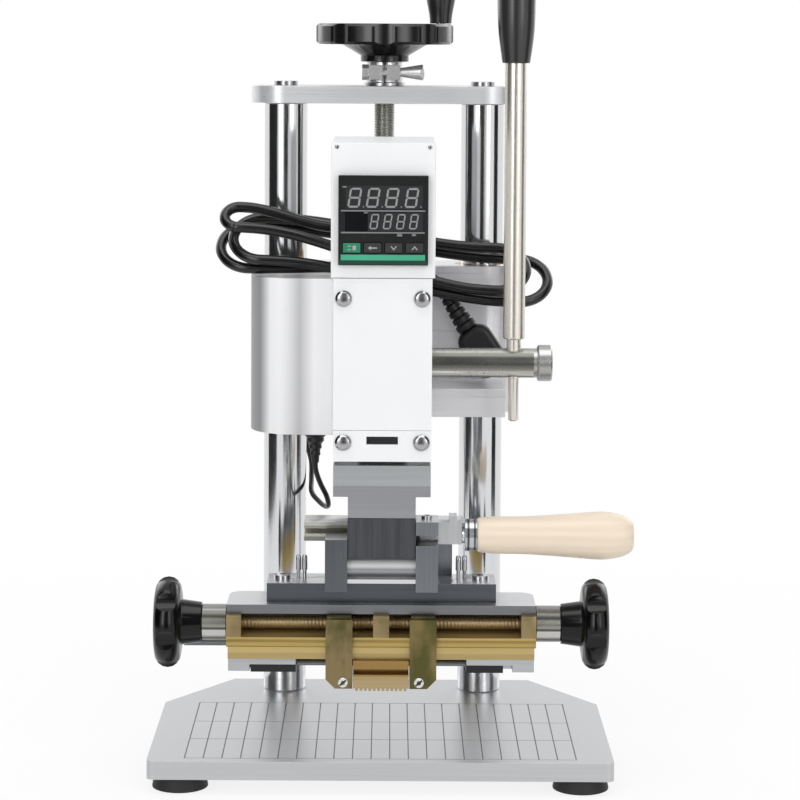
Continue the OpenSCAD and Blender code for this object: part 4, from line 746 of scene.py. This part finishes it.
# The seven strokes of a leaning digit
def digitShapes(px0, py0, px1, py1, stroke, lean):
    x0, z0 = faceSpot(px0, py1)
    x1, z1 = faceSpot(px1, py0)
    height = z1 - z0
    middle = (z0 + z1) / 2
    width = x1 - x0 - lean * height
    gap = stroke * 0.12
    shapes = []

    def stroked(ax, az, bx, bz):
        length = math.hypot(bx - ax, bz - az)
        dx, dz = (bx - ax) / length, (bz - az) / length
        s = stroke / 2
        ends = [(ax + dx * gap, az + dz * gap), (bx - dx * gap, bz - dz * gap)]
        corners = [ends[0], (ends[0][0] + dx * s - dz * s, ends[0][1] + dz * s + dx * s),
                   (ends[1][0] - dx * s - dz * s, ends[1][1] - dz * s + dx * s), ends[1],
                   (ends[1][0] - dx * s + dz * s, ends[1][1] - dz * s - dx * s),
                   (ends[0][0] + dx * s + dz * s, ends[0][1] + dz * s - dx * s)]
        shapes.append([(x + lean * (z - z0), z) for x, z in corners])

    s = stroke / 2
    for z in (z0 + s, middle, z1 - s):
        stroked(x0 + s, z, x0 + width - s, z)
    for x in (x0 + s, x0 + width - s):
        stroked(x, z0 + s, x, middle)
        stroked(x, middle, x, z1 - s)
    return shapes


def digitRow(size):
    top, bottom = face[size + "Rows"]
    return [shape for x0, x1 in face[size + "Digits"]
            for shape in digitShapes(x0, top, x1, bottom, face[size + "Stroke"], face["lean"])]


half, row = face["pointHalf"], face["pointRow"]
points = [faceBox(x - half, row - half, x + half, row + half) for x in face["points"]]
segments = digitRow("big") + digitRow("small") + points
lines = [faceBox(*corners) for corners in face["lines"]]
panels = [faceBox(*corners) for corners in face["panels"]]
front = face["front"]
film = face["film"]
finish(printed("display_panels", panels, front, film), "display_window", "panel")
finish(printed("display_digits", segments, front - film, film), "display_window", "segment")
finish(printed("display_lines", lines, front, face["lineFilm"]), "display_window", "line")
stripe = printed("green_stripe", [faceBox(*face["stripe"])], front, face["stripeFilm"])
finish(stripe, "controller_body", "stripe")
# Painted shade: a dark green strip along the bottom edge of the face, below the stripe
greenEdge = printed("green_edge", [faceBox(*face["edge"])], front, face["edgeFilm"])
finish(greenEdge, "controller_body", "shade")

keys = {"key_set": ("green", [[(-2.2, 1.2), (-0.4, 1.2), (-0.4, 0.7), (-2.2, 0.7)],
                              [(-2.2, -0.7), (-0.4, -0.7), (-0.4, -1.2), (-2.2, -1.2)],
                              [(0.5, 1.2), (2.3, 1.2), (2.3, -1.2), (0.5, -1.2)]]),
        "key_shift": ("key", [[(-2.6, 0), (-0.9, 1.2), (-0.9, 0.35), (2.4, 0.35), (2.4, -0.35), (-0.9, -0.35),
                               (-0.9, -1.2)]]),
        "key_down": ("key", [[(-1.8, 1.0), (-1.0, 1.0), (0, -0.4), (1.0, 1.0), (1.8, 1.0), (0, -1.3)]]),
        "key_up": ("key", [[(-1.8, -1.0), (0, 1.3), (1.8, -1.0), (1.0, -1.0), (0, 0.4), (-1.0, -1.0)]])}
for node, (paint, glyph) in keys.items():
    dress(node, paint, 0.35)
    low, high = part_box(node)
    middle = ((low + high) / 2 - Vector((0, columnY * mm, 0))) / mm
    shapes = [[(x + middle.x, z + middle.z) for x, z in corners] for corners in glyph]
    finish(printed(node + "_glyph", shapes, low.y / mm - columnY, film), node, "glyph")
print("controller made")

# Lever
dress("lever_shaft", "shaft", 0.4)
dress("shaft_pinion", "screw", 0.1)
dress("lever_rod", "nickel", 0.3)
grip = {"x": 73, "y": -82, "low": 372, "mouth": [(0, 4), (0, 7.2)],
        "profile": [(0, 7.4), (1.7, 8), (21, 10.25), (51, 10.8), (70, 10.5), (80, 8.6), (84, 5.2), (85, 0)]}
leverGrip = turned("lever_grip_turned", grip["mouth"] + smoothProfile(grip["profile"]),
                   place(grip["x"], grip["y"], grip["low"]), "Z")
finish(soften(leverGrip, 0), "lever_grip", "grip")
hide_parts("lever_grip")

# Ram
dress("ram_bar", "screw", 0.2)
dress("heater_block", "heater", 0.4)
dress("heater_cartridges", "screw", 0.2)
dress("carrier_rail", "rail", 0.3)
dress("return_springs", "screw", 0)
print("lever and ram made")

# Type carrier
dress("die_block", "die", 0.35)
dress("uprights", "ground_up", 0.4)
dress("polished_rods", "rod", 0.3)
dress("handle_clamp", "clamp", 0.35)
dress("handle_rod", "clamp_rod", 0.3)
dress("bridge_plate", "bridge", 0.5)
dress("slide_plate", "slide", 0.4)
dress("slot_frame", "brass", 0.35)
dress("lower_plate", "lower", 0.4)
dress("type_holder", "holder", 0.25)
dress("bottom_strip", "strip", 0.2)
dress("carrier_screws", "screw", 0.2)
jawScrew = {"x": 20.44, "y": -148.05, "z": 39.6, "slot": (2.3, 0.45), "angle": math.radians(40),
            "slotStart": 1.36, "slotThick": 0.15,
            "profile": [(0, 2.66), (-1.15, 2.66), (-1.4, 2.35), (-1.46, 0)]}
for side, name in ((-1, "left"), (1, "right")):
    dress("jaw_" + name, "dull", 0.3)
    x, y, z = side * jawScrew["x"], jawScrew["y"], jawScrew["z"]
    head = turned("jaw_screw_" + name, jawScrew["profile"], place(x, y, z), "Y", 32)
    finish(soften(head, 0), "jaw_" + name, "bright")
    c, s = math.cos(jawScrew["angle"]), math.sin(jawScrew["angle"])
    half, wide = jawScrew["slot"]
    bar = [(x + a * half * c - b * wide * s, z + a * half * s + b * wide * c)
           for a, b in ((-1, -1), (1, -1), (1, 1), (-1, 1))]
    # Painted shade: each slot is a thin dark sheet on the screw head, standing in for the shade in its recess
    slot = printed("jaw_slot_" + name, [bar], y - jawScrew["slotStart"], jawScrew["slotThick"])
    finish(slot, "jaw_" + name, "slot")
handle = {"start": 52, "y": -126, "z": 115.9, "mouth": [(0, 3)],
          "profile": [(0, 8.6), (1.7, 9.45), (10.2, 10.1), (25.4, 10.3), (44, 11.4), (62.5, 12.8),
                      (69.9, 12.85), (78.2, 11.4), (83.2, 8.9), (84.7, 6.2), (85, 0)]}
woodHandle = turned("wooden_handle_turned", handle["mouth"] + smoothProfile(handle["profile"]),
                    place(handle["start"], handle["y"], handle["z"]), "X")
finish(soften(woodHandle, 0, angle=60), "wooden_handle", "wood")
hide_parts("wooden_handle")
print("carrier made")

# Side knobs and their threaded shafts
knobScrew = {"radius": 3.5, "depth": 0.22, "pitch": 2, "start": 1, "end": 83.8, "y": -126, "z": 67.2,
             "sleeve": [(83.8, 0), (83.8, 9.2), (84.4, 9.8), (97.1, 9.8), (97.7, 9.2), (97.7, 0)]}
for side, name in ((-1, "left"), (1, "right")):
    dress("knob_" + name, "knob", 0.8, steps=3)
    span = knobScrew["end"] - knobScrew["start"]
    start = knobScrew["start"] if side > 0 else -knobScrew["end"]
    thread = threaded("knob_thread_" + name, knobScrew["radius"], knobScrew["depth"], knobScrew["pitch"],
                      place(start, knobScrew["y"], knobScrew["z"]), span, "X", 24)
    finish(soften(thread, 0), "knob_shaft_" + name, "copper")
    shaft = turned("knob_sleeve_" + name, [(side * d, r) for d, r in knobScrew["sleeve"]],
                   place(0, knobScrew["y"], knobScrew["z"]), "X", 48)
    finish(soften(shaft, 0), "knob_shaft_" + name, "sleeve")
    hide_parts("knob_shaft_" + name)
print("knobs made")

# Floor, world and lamps, in metres: a lamp is (name, place, width and height, watts), and a card is
# (name, the two ends of its foot). The floor pales from a little grey near the machine to white.
studio = {
    "floor": 4, "fadeReach": (0.15, 0.7), "fadeShare": (0.82, 1.0), "world": 0.47, "aim": (0, 0, 0.2),
    "lamps": (("left_box", (-0.85, -1.6, 0.8), (0.5, 1.3), 7), ("right_box", (1.0, -1.5, 0.8), (0.5, 1.3), 5),
              ("top_box", (0, -0.3, 1.6), (1.4, 1.0), 9), ("front_box", (0.15, -2.2, 0.9), (0.7, 0.7), 6),
              ("back_left", (-0.9, 1.2, 0.9), (0.8, 1.2), 5), ("back_right", (0.9, 1.2, 0.9), (0.8, 1.2), 5)),
    "cards": (("front_card", (-0.19, -0.8), (0.19, -0.8)), ("left_card", (-0.6, -0.49), (-0.6, 0.16)),
              ("right_card", (0.6, -0.2), (0.6, 0.07))),
    "cardHeight": 1.2,
}
floorBm = bmesh.new()
bmesh.ops.create_grid(floorBm, x_segments=2, y_segments=2, size=studio["floor"])
floor = newMesh("floor", floorBm)
floor.location.z = cadBounds[0][2]
floorPaint = grained("floor_paper", "#F4F4F4", 0.9, 400, 0.00002, 0.004, 0.02)
floor.data.materials.append(floorPaint.material)

world = bpy.data.worlds.new("studio")
bpy.context.scene.world = world
world.use_nodes = True


# White where the camera or a reflection looks, and the plain shader elsewhere
def whiteSeen(tree, plain, white, output, share=1.0):
    path = tree.nodes.new("ShaderNodeLightPath")
    looks = [Wire(tree, path.outputs[kind]) for kind in ("Is Camera Ray", "Is Glossy Ray",
                                                         "Is Transmission Ray")]
    seen = looks[0] + looks[1] + looks[2]
    both = tree.nodes.new("ShaderNodeMixShader")
    white.inputs["Color"].default_value = (1, 1, 1, 1)
    white.inputs["Strength"].default_value = 1.0
    tree.links.new((seen * share).socket, both.inputs[0])
    tree.links.new(plain, both.inputs[1])
    tree.links.new(white.outputs[0], both.inputs[2])
    tree.links.new(both.outputs[0], output)


floorTree = floorPaint.tree
reach = floorPaint.node("VectorMath", {0: floorPaint.where()}, output=1, operation="LENGTH")
near, far = studio["fadeReach"]
dull, clear = studio["fadeShare"]
fade = floorPaint.node("MapRange", {"Value": reach, "From Min": near, "From Max": far, "To Min": dull,
                                    "To Max": clear})
whiteSeen(floorTree, floorPaint.shader.outputs[0], floorTree.nodes.new("ShaderNodeEmission"),
          floorTree.nodes["Material Output"].inputs["Surface"], fade)
worldTree = world.node_tree
worldTree.nodes.clear()
lit = worldTree.nodes.new("ShaderNodeBackground")
lit.inputs["Color"].default_value = (1, 1, 1, 1)
lit.inputs["Strength"].default_value = studio["world"]
whiteSeen(worldTree, lit.outputs[0], worldTree.nodes.new("ShaderNodeBackground"),
          worldTree.nodes.new("ShaderNodeOutputWorld").inputs["Surface"])

for name, spot, size, power in studio["lamps"]:
    data = bpy.data.lights.new(name, "AREA")
    data.shape = "RECTANGLE"
    data.size, data.size_y = size
    data.energy = power
    lamp = bpy.data.objects.new(name, data)
    bpy.context.scene.collection.objects.link(lamp)
    lamp.location = spot
    lamp.rotation_euler = (Vector(studio["aim"]) - Vector(spot)).to_track_quat("-Z", "Y").to_euler()

# Dark cards that only show in reflections
cardPaint = grained("card_cloth", "#0B0B0B", 0.9, 200, 0.00002, 0.05, 0.02)
for name, start, end in studio["cards"]:
    bm = bmesh.new()
    height = studio["cardHeight"]
    corners = [(*start, 0), (*end, 0), (*end, height), (*start, height)]
    bm.faces.new([bm.verts.new(corner) for corner in corners])
    piece = newMesh(name, bm)
    piece.data.materials.append(cardPaint.material)
    piece.visible_camera = piece.visible_diffuse = piece.visible_shadow = False
bpy.context.scene.view_settings.view_transform = "Standard"
print("studio made")
